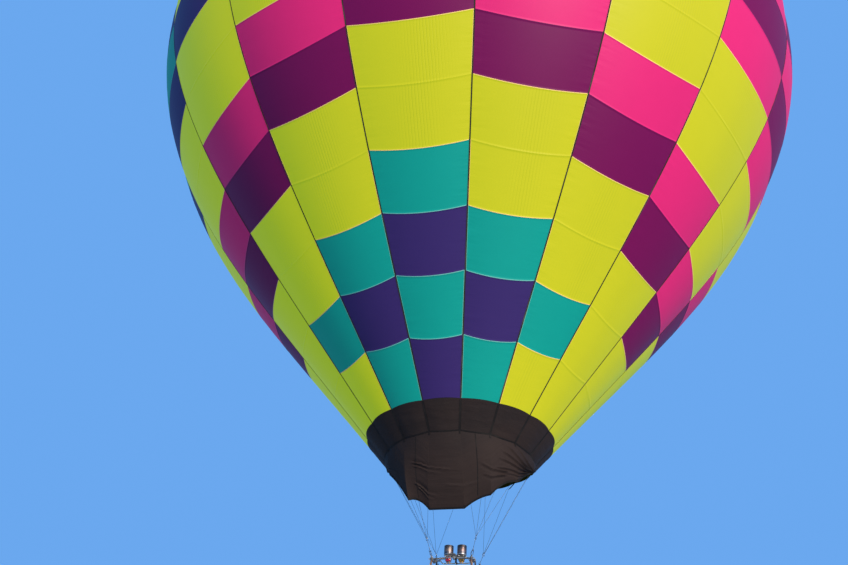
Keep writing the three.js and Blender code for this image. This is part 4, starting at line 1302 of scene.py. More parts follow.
@dataclass
class Mouth:
    """The heatproof band above the mouth, its tape, and the scoop that hangs from it."""

    shell: Shell
    thickness: float = 0.003
    band_rows: int = 22
    band_columns: int = 10
    lap: float = 0.032
    lift: float = 0.38
    lift_from: float = 106.0
    lift_span: float = 28.0
    lap_rows: tuple[float, ...] = (0.3, 0.82, 1.0)
    lap_stand: float = 0.0055
    flat_row: float = 0.66
    tape_height: float = 0.032
    tape_stand: float = 0.0045
    tape_columns: int = 8
    scoop_rows: int = 72
    scoop_columns: int = 40
    billow: float = 0.06
    hem: float = 0.045
    seam_half: float = 0.011
    crease_end: float = 0.12
    column_width: float = 0.7
    flat_drop: float = 1.75
    # Columns: azimuth in degrees, radius, drop below the mouth, rise of the hem towards the next corner
    corners: tuple[tuple[float, float, float, float], ...] = (
        (-101.25, 1.785, 0.030, 0.020), (-84.0, 1.715, 0.220, 0.030), (-66.0, 1.655, 0.515, 0.050),
        (-42.8, 1.360, 1.314, 0.100), (-26.0, 1.020, 1.527, 0.000), (21.4, 1.000, 1.527, 0.055),
        (42.9, 1.420, 1.278, 0.110), (66.0, 1.665, 0.820, 0.040), (88.0, 1.800, 0.330, 0.030),
        (101.25, 1.785, 0.030, 0.000),
    )
    # Creases, columns: column and height where one starts, where it ends, width, depth
    creases: tuple[tuple[float, float, float, float, float, float], ...] = (
        (7.85, 0.10, 6.80, 0.80, 0.042, 0.046), (7.85, 0.10, 6.62, 0.66, 0.042, 0.048),
        (7.80, 0.08, 6.50, 0.52, 0.040, 0.046), (7.75, 0.06, 6.35, 0.38, 0.040, 0.042),
        (7.90, 0.12, 7.25, 0.86, 0.042, 0.034), (7.60, 0.04, 6.60, 0.22, 0.036, 0.030),
        (6.50, 0.27, 5.75, 0.50, 0.040, 0.034), (6.45, 0.20, 5.80, 0.34, 0.040, 0.032),
        (1.05, 0.05, 1.90, 0.42, 0.050, 0.022), (1.10, 0.04, 2.30, 0.30, 0.045, 0.020),
        (3.45, 0.57, 4.55, 0.50, 0.036, 0.028), (3.45, 0.52, 4.30, 0.46, 0.034, 0.022),
        (3.50, 0.25, 4.15, 0.18, 0.036, 0.028), (3.60, 0.20, 4.10, 0.13, 0.034, 0.024),
        (4.60, 0.30, 5.40, 0.26, 0.045, 0.016),
    )
    # Seams down the scoop, columns: column, how strongly it stands out
    seams: tuple[tuple[float, float], ...] = (
        (1.5, 0.6), (2.5, 0.6), (3.5, 1.0), (4.0, 0.4), (5.0, 0.4), (5.5, 1.4), (6.5, 0.5), (7.5, 0.6))

    def hem_lift(self, azimuth: float) -> float:
        """Returns how much higher the mouth is cut behind the scoop, as a share of the band's width."""
        behind = math.degrees(abs((azimuth + math.pi) % TURN - math.pi))
        return self.lift * eased((behind - self.lift_from) / self.lift_span)

    def make_band(self) -> None:
        """Makes the band of dark cloth from the mouth up to the ring."""
        rows = np.concatenate([np.linspace(-1.0, 0.0, self.band_rows + 1), self.lap_rows])
        count = self.shell.gores * self.band_columns
        slots = np.zeros((len(rows) - 1, count), int)
        points = np.zeros((len(rows), count + 1, 3))
        flat = np.zeros((len(rows), count + 1, 2))
        for i, row in enumerate(rows):
            for j in range(count + 1):
                gore, step = divmod(j, self.band_columns)
                side = 2.0 * step / self.band_columns - 1.0
                ripple = (0.003 * math.sin(5.1 * gore + 7.0 * side + 3.0 * row)
                          * math.sin(math.pi * (row + 1.0)))
                place = row * (1.0 - self.hem_lift((gore + side / 2.0) * self.shell.gore_angle))
                if row >= 0.0:
                    place = self.lap * (1.0 - side * side) * row
                    ripple = self.lap_stand
                points[i, j] = self.shell.cloth(gore, float(place), side, ripple)
                flat[i, j] = (j / count * TURN * self.shell.station(place).radius, self.flat_row * place)
        slots[-1:] = 1
        sheet = Sheet(points, flat, slots, wrap=True)
        obj = sheet.make("mouth_band_cloth", [BROWN_CLOTH, BINDING], self.thickness)
        place_piece(obj, "balloon", "heatproof_cloth", "mouth_band")

    def make_mouth_tape(self) -> bpy.types.Object:
        """Makes the binding round the mouth that the load tapes end in."""
        rows = np.linspace(0.0, self.tape_height / self.flat_row, 3) - 1.0
        count = self.shell.gores * self.tape_columns
        points = np.zeros((len(rows), count + 1, 3))
        flat = np.zeros((len(rows), count + 1, 2))
        for i, row in enumerate(rows):
            for j in range(count + 1):
                gore, step = divmod(j, self.tape_columns)
                side = 2.0 * step / self.tape_columns - 1.0
                lift = self.hem_lift((gore + side / 2.0) * self.shell.gore_angle)
                points[i, j] = self.shell.cloth(gore, float(row) + lift, side, self.tape_stand)
                flat[i, j] = (j / count * TURN * self.shell.mouth.radius, i * self.tape_height / 2)
        return Sheet(points, flat, wrap=True).make("mouth_binding", [BINDING], 0.003)

    def hem_point(self, column: float) -> Vector:
        """Returns a point of the scoop's lower edge, where whole columns are its corners."""
        index = min(int(column), len(self.corners) - 2)
        share = column - index
        ends = []
        for azimuth, radius, drop, _ in self.corners[index:index + 2]:
            angle = math.radians(azimuth)
            ends.append(Vector((radius * math.sin(angle), -radius * math.cos(angle),
                                self.shell.mouth.height - drop)))
        point = ends[0].lerp(ends[1], share)
        point.z += self.corners[index][3] * 4.0 * share * (1.0 - share)
        return point

    def top_point(self, column: float) -> Vector:
        """Returns a point of the scoop's upper edge, under the mouth's binding."""
        index = min(int(column), len(self.corners) - 2)
        gore = index - len(self.corners) // 2 + 1
        return self.shell.cloth(gore, -1.0, 2.0 * (column - index) - 1.0)

    def scoop_point(self, column: float, height: float, out: float = 0.0) -> Vector:
        """Returns a point of the scoop.

        Args:
            column: from 0 at its left end to 9 at its right one.
            height: from 0 at the hem to 1 at the mouth.
            out: distance in front of the cloth.
        """
        hem, top = self.hem_point(column), self.top_point(column)
        away = Vector((hem.x, hem.y, 0.0)).normalized()
        drop = 1.0 - height
        swell = self.billow * 4.0 * drop * height * min(1.0, column / 3.0)
        return top.lerp(hem, drop) + away * (swell + out)

    def crease_depth(self, column: float, height: float) -> float:
        """Returns how far the creases push the cloth in or out at a place."""
        total = 0.0
        for start_column, start_height, end_column, end_height, width, depth in self.creases:
            along = Vector((end_column - start_column, (end_height - start_height) * 3.0))
            reach = Vector((column - start_column, (height - start_height) * 3.0))
            share = along.dot(reach) / along.length_squared
            aside = (along.x * reach.y - along.y * reach.x) / along.length
            fade = (dip(max(0.0, share - 1.0, -share), self.crease_end)
                    * (1.15 - 0.6 * min(1.0, max(0.0, share))))
            fold = dip(aside, width) - 0.5 * dip(aside - 2.2 * width, 1.6 * width)
            total += depth * fade * fold
        return total * min(1.0, height * 12.0) * min(1.0, (1.0 - height) * 8.0)

    def creased_point(self, column: float, height: float, out: float) -> Vector:
        """Returns a point in front of the scoop that follows its creases."""
        return self.scoop_point(column, height, out + self.crease_depth(column, height))

    def drop_length(self, column: float) -> float:
        """Returns the scoop's length from the mouth to its hem."""
        return (self.top_point(column) - self.hem_point(column)).length

    def make_scoop(self) -> None:
        """Makes the scoop with its creases."""
        spans = len(self.corners) - 1
        columns = np.linspace(0.0, spans, spans * self.scoop_columns + 1)
        heights = np.linspace(0.0, 1.0, self.scoop_rows + 1)
        points = np.zeros((len(heights), len(columns), 3))
        flat = np.zeros((len(heights), len(columns), 2))
        for j, column in enumerate(columns):
            length = self.drop_length(column)
            for i, height in enumerate(heights):
                ripple = 0.004 * math.sin(9.0 * height + 1.7 * column) * height * (1.0 - height)
                points[i, j] = self.scoop_point(column, height, self.crease_depth(column, height) + ripple)
                flat[i, j] = (column * self.column_width, height * length)
        obj = Sheet(points, flat).make("scoop_cloth", [BROWN_CLOTH], self.thickness)
        place_piece(obj, "balloon", "heatproof_cloth", "scoop")

    def strip(self, name: str, lines: Sequence[Sequence[Vector]], thickness: float,
              finish: Finish = BINDING) -> bpy.types.Object:
        """Makes a strip of cloth through lines of points, one line for each edge or fold of it."""
        points = np.array([array(line) for line in lines])
        run = run_along(points[0])
        flat = np.array([[(along, 0.02 * i) for along in run] for i in range(len(lines))])
        return Sheet(points, flat).make(name, [finish], thickness, 1.0)

    def make_trim(self) -> bpy.types.Object:
        """Makes the scoop's hem, its vertical seams and the tabs at its corners."""
        spans = len(self.corners) - 1
        edges = []
        for share in (0.0, 0.5, 1.0):
            line = []
            for column in np.linspace(0.0, spans, spans * 12 + 1):
                height = share * min(0.9, self.hem / self.drop_length(column))
                line.append(self.creased_point(column, height, 0.003))
            edges.append(line)
        strips = [self.strip("scoop_hem", edges, 0.004)]
        half = self.seam_half / self.column_width
        for column, strength in self.seams:
            stand = 0.0035 * strength
            lines = [[self.creased_point(column + aside, height, out)
                      for height in np.linspace(0.06, 0.985, 40)]
                     for aside, out in ((-half, 0.0005), (-half * 0.6, stand), (half * 0.6, stand),
                                        (half, 0.0005))]
            strips.append(self.strip("scoop_seam", lines, 0.002, BINDING if strength > 0.9 else BROWN_CLOTH))
        for column in range(2, spans - 1):
            for height in (0.0, 1.0):
                strips.append(self.make_tab(float(column), height))
        return join("scoop_trim", strips)

    def make_tab(self, column: float, height: float) -> bpy.types.Object:
        """Makes a webbing tab over the scoop's edge at a corner."""
        inwards = (1.0 if height < 0.5 else -1.0) / self.drop_length(column)
        lines = []
        for aside in (-0.022, 0.022):
            line = []
            for step, out in ((0.0, 0.006), (0.035, 0.008), (0.07, 0.006)):
                place = height + step * inwards
                line.append(self.scoop_point(column + aside, place, out + self.crease_depth(column, place)))
            lines.append(line)
        return self.strip("scoop_tab", lines, 0.004)

    def make(self) -> None:
        """Makes the band, the scoop and all that is sewn to them."""
        self.make_band()
        self.make_scoop()
        place_piece(self.make_trim(), "balloon", "heatproof_cloth")


@dataclass
class Crown:
    """The ring that the load tapes end at, and the parachute vent under the open top."""

    shell: Shell
    bore: float = 0.125
    low: float = 6.60796
    high: float = 6.63196
    rim_row: float = 16.8
    depth: float = 0.0104
    fabric: float = 0.004
    columns: int = 8
    patch_shares: tuple[float, float] = (0.45, 0.02)
    seam_half: float = 0.012

    def make_ring(self) -> None:
        """Makes the ring with the tape ends sewn round it."""
        outer, bore, low, high = self.shell.crown_radius, self.bore, self.low, self.high
        profile = ((bore, low + 0.006), (bore + 0.003, low + 0.0015), (bore + 0.008, low),
                   (outer - 0.008, low),
                   (outer - 0.003, low + 0.0015), (outer, low + 0.006), (outer, high - 0.006),
                   (outer - 0.003, high - 0.0015), (outer - 0.008, high), (bore + 0.008, high),
                   (bore + 0.003, high - 0.0015), (bore, high - 0.006), (bore, low + 0.006))
        pieces = [turned("ring", ALUMINIUM, profile, 96, loop=True)]
        for index in range(self.shell.gores):
            loop = block("tape_end", DARK_WEBBING, (bore - 0.003, -0.013, low - 0.003),
                         (outer + 0.006, 0.013, high + 0.003), 0.005)
            turn = math.pi / 2 - (index + 0.5) * self.shell.gore_angle
            pieces.append(moved(loop, Matrix.Rotation(-turn, 4, "Z")))
        place_piece(join("crown_ring_bound", pieces), "balloon", "bare_aluminium", "crown_ring")

    def make_vent(self) -> None:
        """Makes the vent, pressed up against the tapes, with a hem and a patch at its middle."""
        rows = [self.rim_row, self.rim_row + 0.02]
        rows += list(np.linspace(self.rim_row + 0.03, self.shell.top_row - 0.02, 26))
        count = self.shell.gores * self.columns
        spread = [(row, 1.0) for row in rows] + [(rows[-1], share) for share in self.patch_shares]
        points = np.zeros((len(spread), count + 1, 3))
        flat = np.zeros((len(spread), count + 1, 2))
        slots = np.zeros((len(spread) - 1, count), int)
        slots[0] = slots[len(rows) - 2:] = 1
        for i, (row, share) in enumerate(spread):
            for j in range(count + 1):
                gore, step = divmod(j, self.columns)
                side = 2.0 * step / self.columns - 1.0
                point = self.shell.cloth(gore, row, side, -self.depth)
                ripple = 0.004 * math.sin(12.0 * row + 2.3 * gore) * (1.0 - side * side)
                points[i, j] = (point.x * share, point.y * share, point.z - abs(ripple))
                flat[i, j] = (j / count * TURN * self.shell.station(row).radius, row * self.shell.row_length)
        sheet = Sheet(points, flat, slots, wrap=True)
        obj = sheet.make("parachute_vent_cloth", [VENT_CLOTH, DARK_WEBBING], self.fabric)
        seams = []
        run = np.linspace(0.0, 2.6, len(rows) - 1)
        seam_flat = np.array([[(along, 2.0 * self.seam_half * i) for along in run] for i in range(2)])
        for gore in range(self.shell.gores):
            lines = [array(self.shell.cloth(gore, row,
                                            aside * min(0.9, self.seam_half / self.shell.width(row)),
                                            -self.depth + 0.0015) for row in rows[1:])
                     for aside in (-1.0, 1.0)]
            seams.append(Sheet(np.array(lines), seam_flat).make("vent_seam", [VENT_CLOTH], 0.0015, 1.0))
        obj = join("parachute_vent_cloth", [obj, *seams])
        place_piece(obj, "vent", "vent_fabric", "parachute_vent")
        radius = self.shell.station(self.rim_row).radius

    def make(self) -> None:
        """Makes the ring and the vent."""
        self.make_ring()
        self.make_vent()


@dataclass(frozen=True)
class Corner:
    """One corner of the burner frame and the first of the four load tapes that it carries."""

    name: str
    x: int
    y: int
    first_tape: int


CORNERS = (Corner("front_right", 1, -1, 0), Corner("back_right", 1, 1, 4), Corner("back_left", -1, 1, 8),
           Corner("front_left", -1, -1, 12))


@dataclass
class Pull:
    """Directions at a corner: up along the wires' pull, around the frame, and out square to both."""

    foot: Vector
    pull: Vector
    around: Vector
    out: Vector
    lug_hole: Vector

    def at(self, origin: Vector, out: float = 0.0, around: float = 0.0, up: float = 0.0) -> Vector:
        """Returns a point off an origin along the three directions."""
        return origin + self.out * out + self.around * around + self.pull * up

    def stand(self, origin: Vector) -> Matrix:
        """Returns the matrix that stands X around the frame, Y outwards and Z along the pull."""
        return axes(self.around, self.out, self.pull, origin)


def rounded_loop(half_x: float, half_y: float, bend: float, height: float, steps: int = 10,
                 straight: int = 1) -> list[Vector]:
    """Returns the points of a level rectangle with rounded corners, anticlockwise from +X."""
    points = []
    for side_x, side_y, begin in ((1, 1, 0), (-1, 1, 90), (-1, -1, 180), (1, -1, 270)):
        for step in range(steps + 1):
            angle = math.radians(begin + 90.0 * step / steps)
            points.append(Vector((side_x * (half_x - bend) + bend * math.cos(angle),
                                  side_y * (half_y - bend) + bend * math.sin(angle), height)))
    if straight > 1:
        filled = []
        for i, point in enumerate(points):
            after = points[(i + 1) % len(points)]
            pieces = straight if i % (steps + 1) == steps else 1
            filled.extend(point.lerp(after, step / pieces) for step in range(pieces))
        return filled
    return points


@dataclass
class Rigging:
    """The flying wires, their strops and links, and the karabiners at the frame's corners."""

    shell: Shell
    foot: tuple[float, float, float] = (0.450, 0.400, -14.966)
    hole_height: float = 0.023
    hole: float = 0.011
    gap: float = 0.00035
    bend: float = 0.026
    straight: float = 0.028
    eye_reach: float = 0.026
    sleeve_length: float = 0.020
    karabiner_bar: float = 0.006
    link_radius: float = 0.024
    link_bar: float = 0.005
    strop: float = 0.210
    wire: float = 0.003
    cloth: float = 0.010

    def wire_top(self, tape: int) -> Vector:
        """Returns where a wire ends at the mouth."""
        azimuth = (tape + 0.5) * self.shell.gore_angle
        return self.shell.tape(azimuth, -1.0, -self.cloth - 2.0 * self.gap - self.wire)

    def corner_axes(self, corner: Corner) -> Pull:
        """Returns the directions at a corner."""
        foot = Vector((corner.x * self.foot[0], corner.y * self.foot[1], self.foot[2]))
        pull = Vector()
        for tape in range(corner.first_tape, corner.first_tape + 4):
            pull += self.wire_top(tape) - foot
        pull.normalize()
        around = Vector((-corner.y, corner.x, 0.0)).normalized()
        out = around.cross(pull).normalized()
        return Pull(foot, pull, pull.cross(out).normalized(), out, foot + pull * self.hole_height)

    def levels(self) -> tuple[float, float, float]:
        """Returns how far above the lug's hole the karabiner's middle and the two links' middles are."""
        rest = self.hole * math.cos(math.pi / 12) - self.karabiner_bar * math.cos(math.pi / 6) - self.gap
        reach = self.straight + self.bend * math.cos(math.pi / 10)
        bars = (self.link_bar + self.karabiner_bar) * math.cos(math.pi / 6)
        bars += self.karabiner_bar / 2.0 * math.tan(math.pi / 12)
        lower = rest + 2.0 * reach + self.link_radius - bars - self.gap
        return rest + reach, lower, lower + 2.0 * self.link_radius + self.strop

    def make_karabiner(self, corner: Corner, here: Pull) -> None:
        """Makes a karabiner with its gate, hinge pin and screw sleeve."""
        centre = here.at(here.lug_hole, up=self.levels()[0])
        points = []
        for end in (1, -1):
            for step in range(13):
                angle = math.radians(15.0 * step + (0.0 if end == 1 else 180.0))
                points.append(here.at(centre, around=self.bend * math.cos(angle),
                                      up=self.bend * math.sin(angle) + end * self.straight))
        pieces = [tube("loop", GUNMETAL, points, self.karabiner_bar, True)]
        gate = [here.at(centre, around=-self.bend, up=height) for height in (-0.020, 0.016)]
        pieces.append(bar("sleeve", DARK_PAINT, gate[0], gate[1], self.karabiner_bar + 0.0035, 0.0015))
        for i in range(9):
            low = here.at(centre, around=-self.bend, up=-0.0165 + 0.0034 * i)
            pieces.append(bar("grip", DARK_PAINT, low, here.at(low, up=0.0016), self.karabiner_bar + 0.0042,
                              0.0005))
        hinge = [here.at(centre, around=-self.bend, out=side, up=-0.026) for side in (-0.008, 0.008)]
        pieces.append(bar("hinge_pin", STEEL, hinge[0], hinge[1], 0.0022, 0.0004, 16))
        name = f"karabiner_{corner.name}_forged"
        place_piece(join(name, pieces), "balloon", "dark_steel", f"karabiner_{corner.name}")

    def make_wires(self, corner: Corner, here: Pull) -> None:
        """Makes a corner's strop, its two links and its four wires with thimbles and pressed sleeves."""
        _, lower, upper = self.levels()
        pieces = []
        for height in (lower, upper):
            centre = here.at(here.lug_hole, up=height)
            line = circle(centre, self.link_radius, 48, here.out, here.pull)
            pieces.append(tube("link", GUNMETAL, line, self.link_bar, True))
            nut_spot = here.at(centre, out=self.link_radius)
            pieces.append(nut("link_nut", GUNMETAL, here.at(nut_spot, up=-0.009), here.pull, 0.0155, 0.018))
        low, high = (here.at(here.lug_hole, up=height) for height in (lower, upper))
        strop = [here.at(low, up=self.link_radius + 0.012), here.at(high, up=-self.link_radius - 0.012)]
        lines = [array(strop[0].lerp(strop[1], share / 8.0) for share in range(9))]
        widths = [self.wire + 0.001]
        for end, sign in ((low, 1.0), (high, -1.0)):
            pieces.append(self.eye(here.at(end, up=sign * self.link_radius), here.pull * sign, here.out))
            spot = here.at(end, up=sign * (self.link_radius + 0.030))
            pieces.append(bar("sleeve", GUNMETAL, spot, here.at(spot, up=sign * 0.022), 0.0066, 0.002))
        for i, tape in enumerate(range(corner.first_tape, corner.first_tape + 4)):
            angle = math.radians(-30.0 + 20.0 * i)
            bottom = here.at(high, out=-self.link_radius * math.sin(angle),
                             up=self.link_radius * math.cos(angle))
            top = self.wire_top(tape)
            along = (top - bottom).normalized()
            rim = here.out * math.cos(angle) + here.pull * math.sin(angle)
            reach, grip = along * self.eye_reach, along * (self.eye_reach + self.sleeve_length)
            low_end, high_end = bottom + reach, top - reach
            lines.append(array(low_end.lerp(high_end, share / 12.0) for share in range(13)))
            widths.append(self.wire)
            pieces.append(self.eye(bottom, along, rim, 0.8))
            pieces.append(bar("sleeve", GUNMETAL, low_end, bottom + grip, 0.0052, 0.0015))
            azimuth = (tape + 0.5) * self.shell.gore_angle
            around = Vector((math.cos(azimuth), math.sin(azimuth), 0.0))
            pieces.append(self.eye(top - Z * 0.002, -along, around, 0.8))
            pieces.append(bar("sleeve", GUNMETAL, top - grip, high_end, 0.0052, 0.0015))
        wires = strands("wires", WIRE_ROPE, lines, widths, 10, [False] * len(lines), (0.31, 0.87, 0.02))
        name = f"flying_wires_{corner.name}_rope"
        place_piece(join(name, [wires, *pieces]), "balloon", "steel_wire", f"flying_wires_{corner.name}")

    def eye(self, start_point: Vector, along: Vector, hinge: Vector, size: float = 1.0) -> bpy.types.Object:
        """Makes a pear-shaped thimble round a bar that runs along the hinge direction."""
        aside = along.cross(hinge).normalized()
        along = hinge.cross(aside).normalized()
        points = []
        for step in range(21):
            angle = math.radians(60.0 + 240.0 * step / 20.0)
            points.append(start_point + along * (0.009 * size * math.cos(angle) + 0.002)
                          + aside * 0.009 * size * math.sin(angle))
        points.append(start_point + along * 0.030 * size)
        return tube("thimble", STEEL, points, 0.0022, True, 3)

    def make(self) -> None:
        """Makes all four corners."""
        for corner in CORNERS:
            here = self.corner_axes(corner)
            self.make_karabiner(corner, here)
            self.make_wires(corner, here)


@dataclass
class BurnerFrame:
    """The tube frame on the uprights, with its lugs and pivots."""

    rigging: Rigging
    half: tuple[float, float] = (0.450, 0.400)
    bend: float = 0.070
    height: float = -15.0
    tube_radius: float = 0.019
    pivot_height: float = -14.9
    pivot_straight: float = 0.060
    pivot_foot: float = 0.150
    boss_radius: float = 0.030
    boss: tuple[float, float] = (-15.034, -14.966)
    lug_width: float = 0.044
    lug_thickness: float = 0.012
    tether_hole: float = 0.050

    def path(self) -> list[Vector]:
        """Returns the tube's centre line, low at the corners and bent up to the pivots on each side."""
        loop = rounded_loop(*self.half, self.bend, self.height, 8)
        per_corner = len(loop) // 4
        points = []
        middles = ((0.0, self.half[1]), (-self.half[0], 0.0), (0.0, -self.half[1]), (self.half[0], 0.0))
        rise = self.pivot_height - self.height
        for side, (x, y) in enumerate(middles):
            points.extend(loop[side * per_corner:(side + 1) * per_corner])
            along = Vector((-y, x, 0.0)).normalized()
            for step in np.linspace(-0.200, 0.200, 33):
                away = (abs(step) - self.pivot_straight) / (self.pivot_foot - self.pivot_straight)
                lift = rise * eased(1.0 - away)
                points.append(Vector((x, y, self.height + lift)) + along * float(step))
        return points

    def make(self) -> None:
        """Makes the frame."""
        pieces = [tube("frame_tube", DARK_PAINT, self.path(), self.tube_radius, True, 8)]
        for corner in CORNERS:
            x, y = corner.x * self.half[0], corner.y * self.half[1]
            low, high = self.boss
            radius = self.boss_radius
            profile = ((radius - 0.004, low), (radius, low + 0.004), (radius, -15.006),
                       (radius - 0.002, -15.003), (radius - 0.002, -14.997), (radius, -14.994),
                       (radius, high - 0.004), (radius - 0.004, high))
            pieces.append(turned("corner_boss", DARK_PAINT, profile, 40, Matrix.Translation((x, y, 0.0))))
            pieces.append(self.gusset(x, y))
            here = self.rigging.corner_axes(corner)
            plate = eye_plate("lug", DARK_PAINT, 0.011, self.lug_width, 0.040, self.lug_thickness)
            pieces.append(moved(plate, here.stand(here.lug_hole)))
            upright = axes(here.out, here.pull, here.around, here.lug_hole)
            pieces.append(sleeve("bush", STEEL, 0.0112, 0.015, -0.0068, 0.0068, place=upright))
            tether = eye_plate("tether_lug", DARK_PAINT, 0.011, self.lug_width, 0.045, self.lug_thickness)
            spot = Vector((x + corner.x * self.tether_hole, y, self.height))
            pieces.append(moved(tether, axes(Y, Z * -corner.x, X * corner.x, spot)))
        for side in (1, -1):
            centre = Vector((side * self.half[0], 0.0, self.pivot_height))
            half = Vector((0.020, 0.030, 0.028))
            pieces.append(block("pivot_boss", DARK_PAINT, centre - half, centre + half, 0.004))
            for across in (-0.020, 0.020):
                spot = centre + Vector((0.0, across, 0.028))
                pieces.append(nut("cap_screw", STEEL, spot, (0, 0, 1), 0.010, 0.008))
            pieces.append(sleeve("bearing", BRASS, 0.0086, 0.015, -0.0225, 0.0225,
                                 place=axes(Y, Z, X, centre)))
        place_piece(join("burner_frame_welded", pieces), "balloon", "dark_steel", "burner_frame")

    def gusset(self, x: float, y: float) -> bpy.types.Object:
        """Makes the weld that joins a corner boss to the bend of the tube."""
        inward = Vector((-x, -y, 0.0)).normalized()
        spot = Vector((x, y, self.height))
        return bar("gusset", DARK_PAINT, spot, spot + inward * 0.050, 0.016, 0.002)


@dataclass
class Gimbal:
    """The ring that tilts on the frame's pivots and carries the burner's."""

    half: tuple[float, float] = (0.330, 0.190)
    bend: float = 0.060
    height: float = -14.9
    tube_radius: float = 0.012
    pin: float = 0.008
    pin_end: float = 0.472
    collar_end: float = 0.420

    def make(self) -> None:
        """Makes the ring, its pins with washers and clips, and its bosses."""
        loop = rounded_loop(*self.half, self.bend, self.height, 10)
        pieces = [tube("gimbal_tube", STEEL, loop, self.tube_radius, True, 8)]
        for side in (1, -1):
            z = self.height
            pieces.append(bar("pin", STEEL, (side * self.half[0], 0, z), (side * self.pin_end, 0, z),
                              self.pin))
            pieces.append(bar("collar", DARK_PAINT, (side * (self.half[0] - 0.004), 0, z),
                              (side * self.collar_end, 0, z), 0.016, 0.002))
            for spot in (0.405, 0.345):
                pieces.append(nut("clamp_screw", STEEL, (side * spot, 0, z + 0.0145), (0, 0, 1), 0.008,
                                  0.004))
            clip = [Vector((side * 0.4705, 0.011 * math.cos(a), z + 0.011 * math.sin(a)))
                    for a in np.linspace(-0.4, 3.6, 14)]
            pieces.append(tube("clip", STEEL, clip, 0.0009, False, 2))
            centre = Vector((0.0, side * self.half[1], z))
            half = Vector((0.020, 0.017, 0.020))
            pieces.append(block("gimbal_boss", DARK_PAINT, centre - half, centre + half, 0.003))
            pieces.append(sleeve("bush", BRASS, 0.0086, 0.0135, -0.0185, 0.0185, place=axes(Z, X, Y, centre)))
        place_piece(join("gimbal_ring_welded", pieces), "gimbal", "dark_steel", "gimbal_ring")


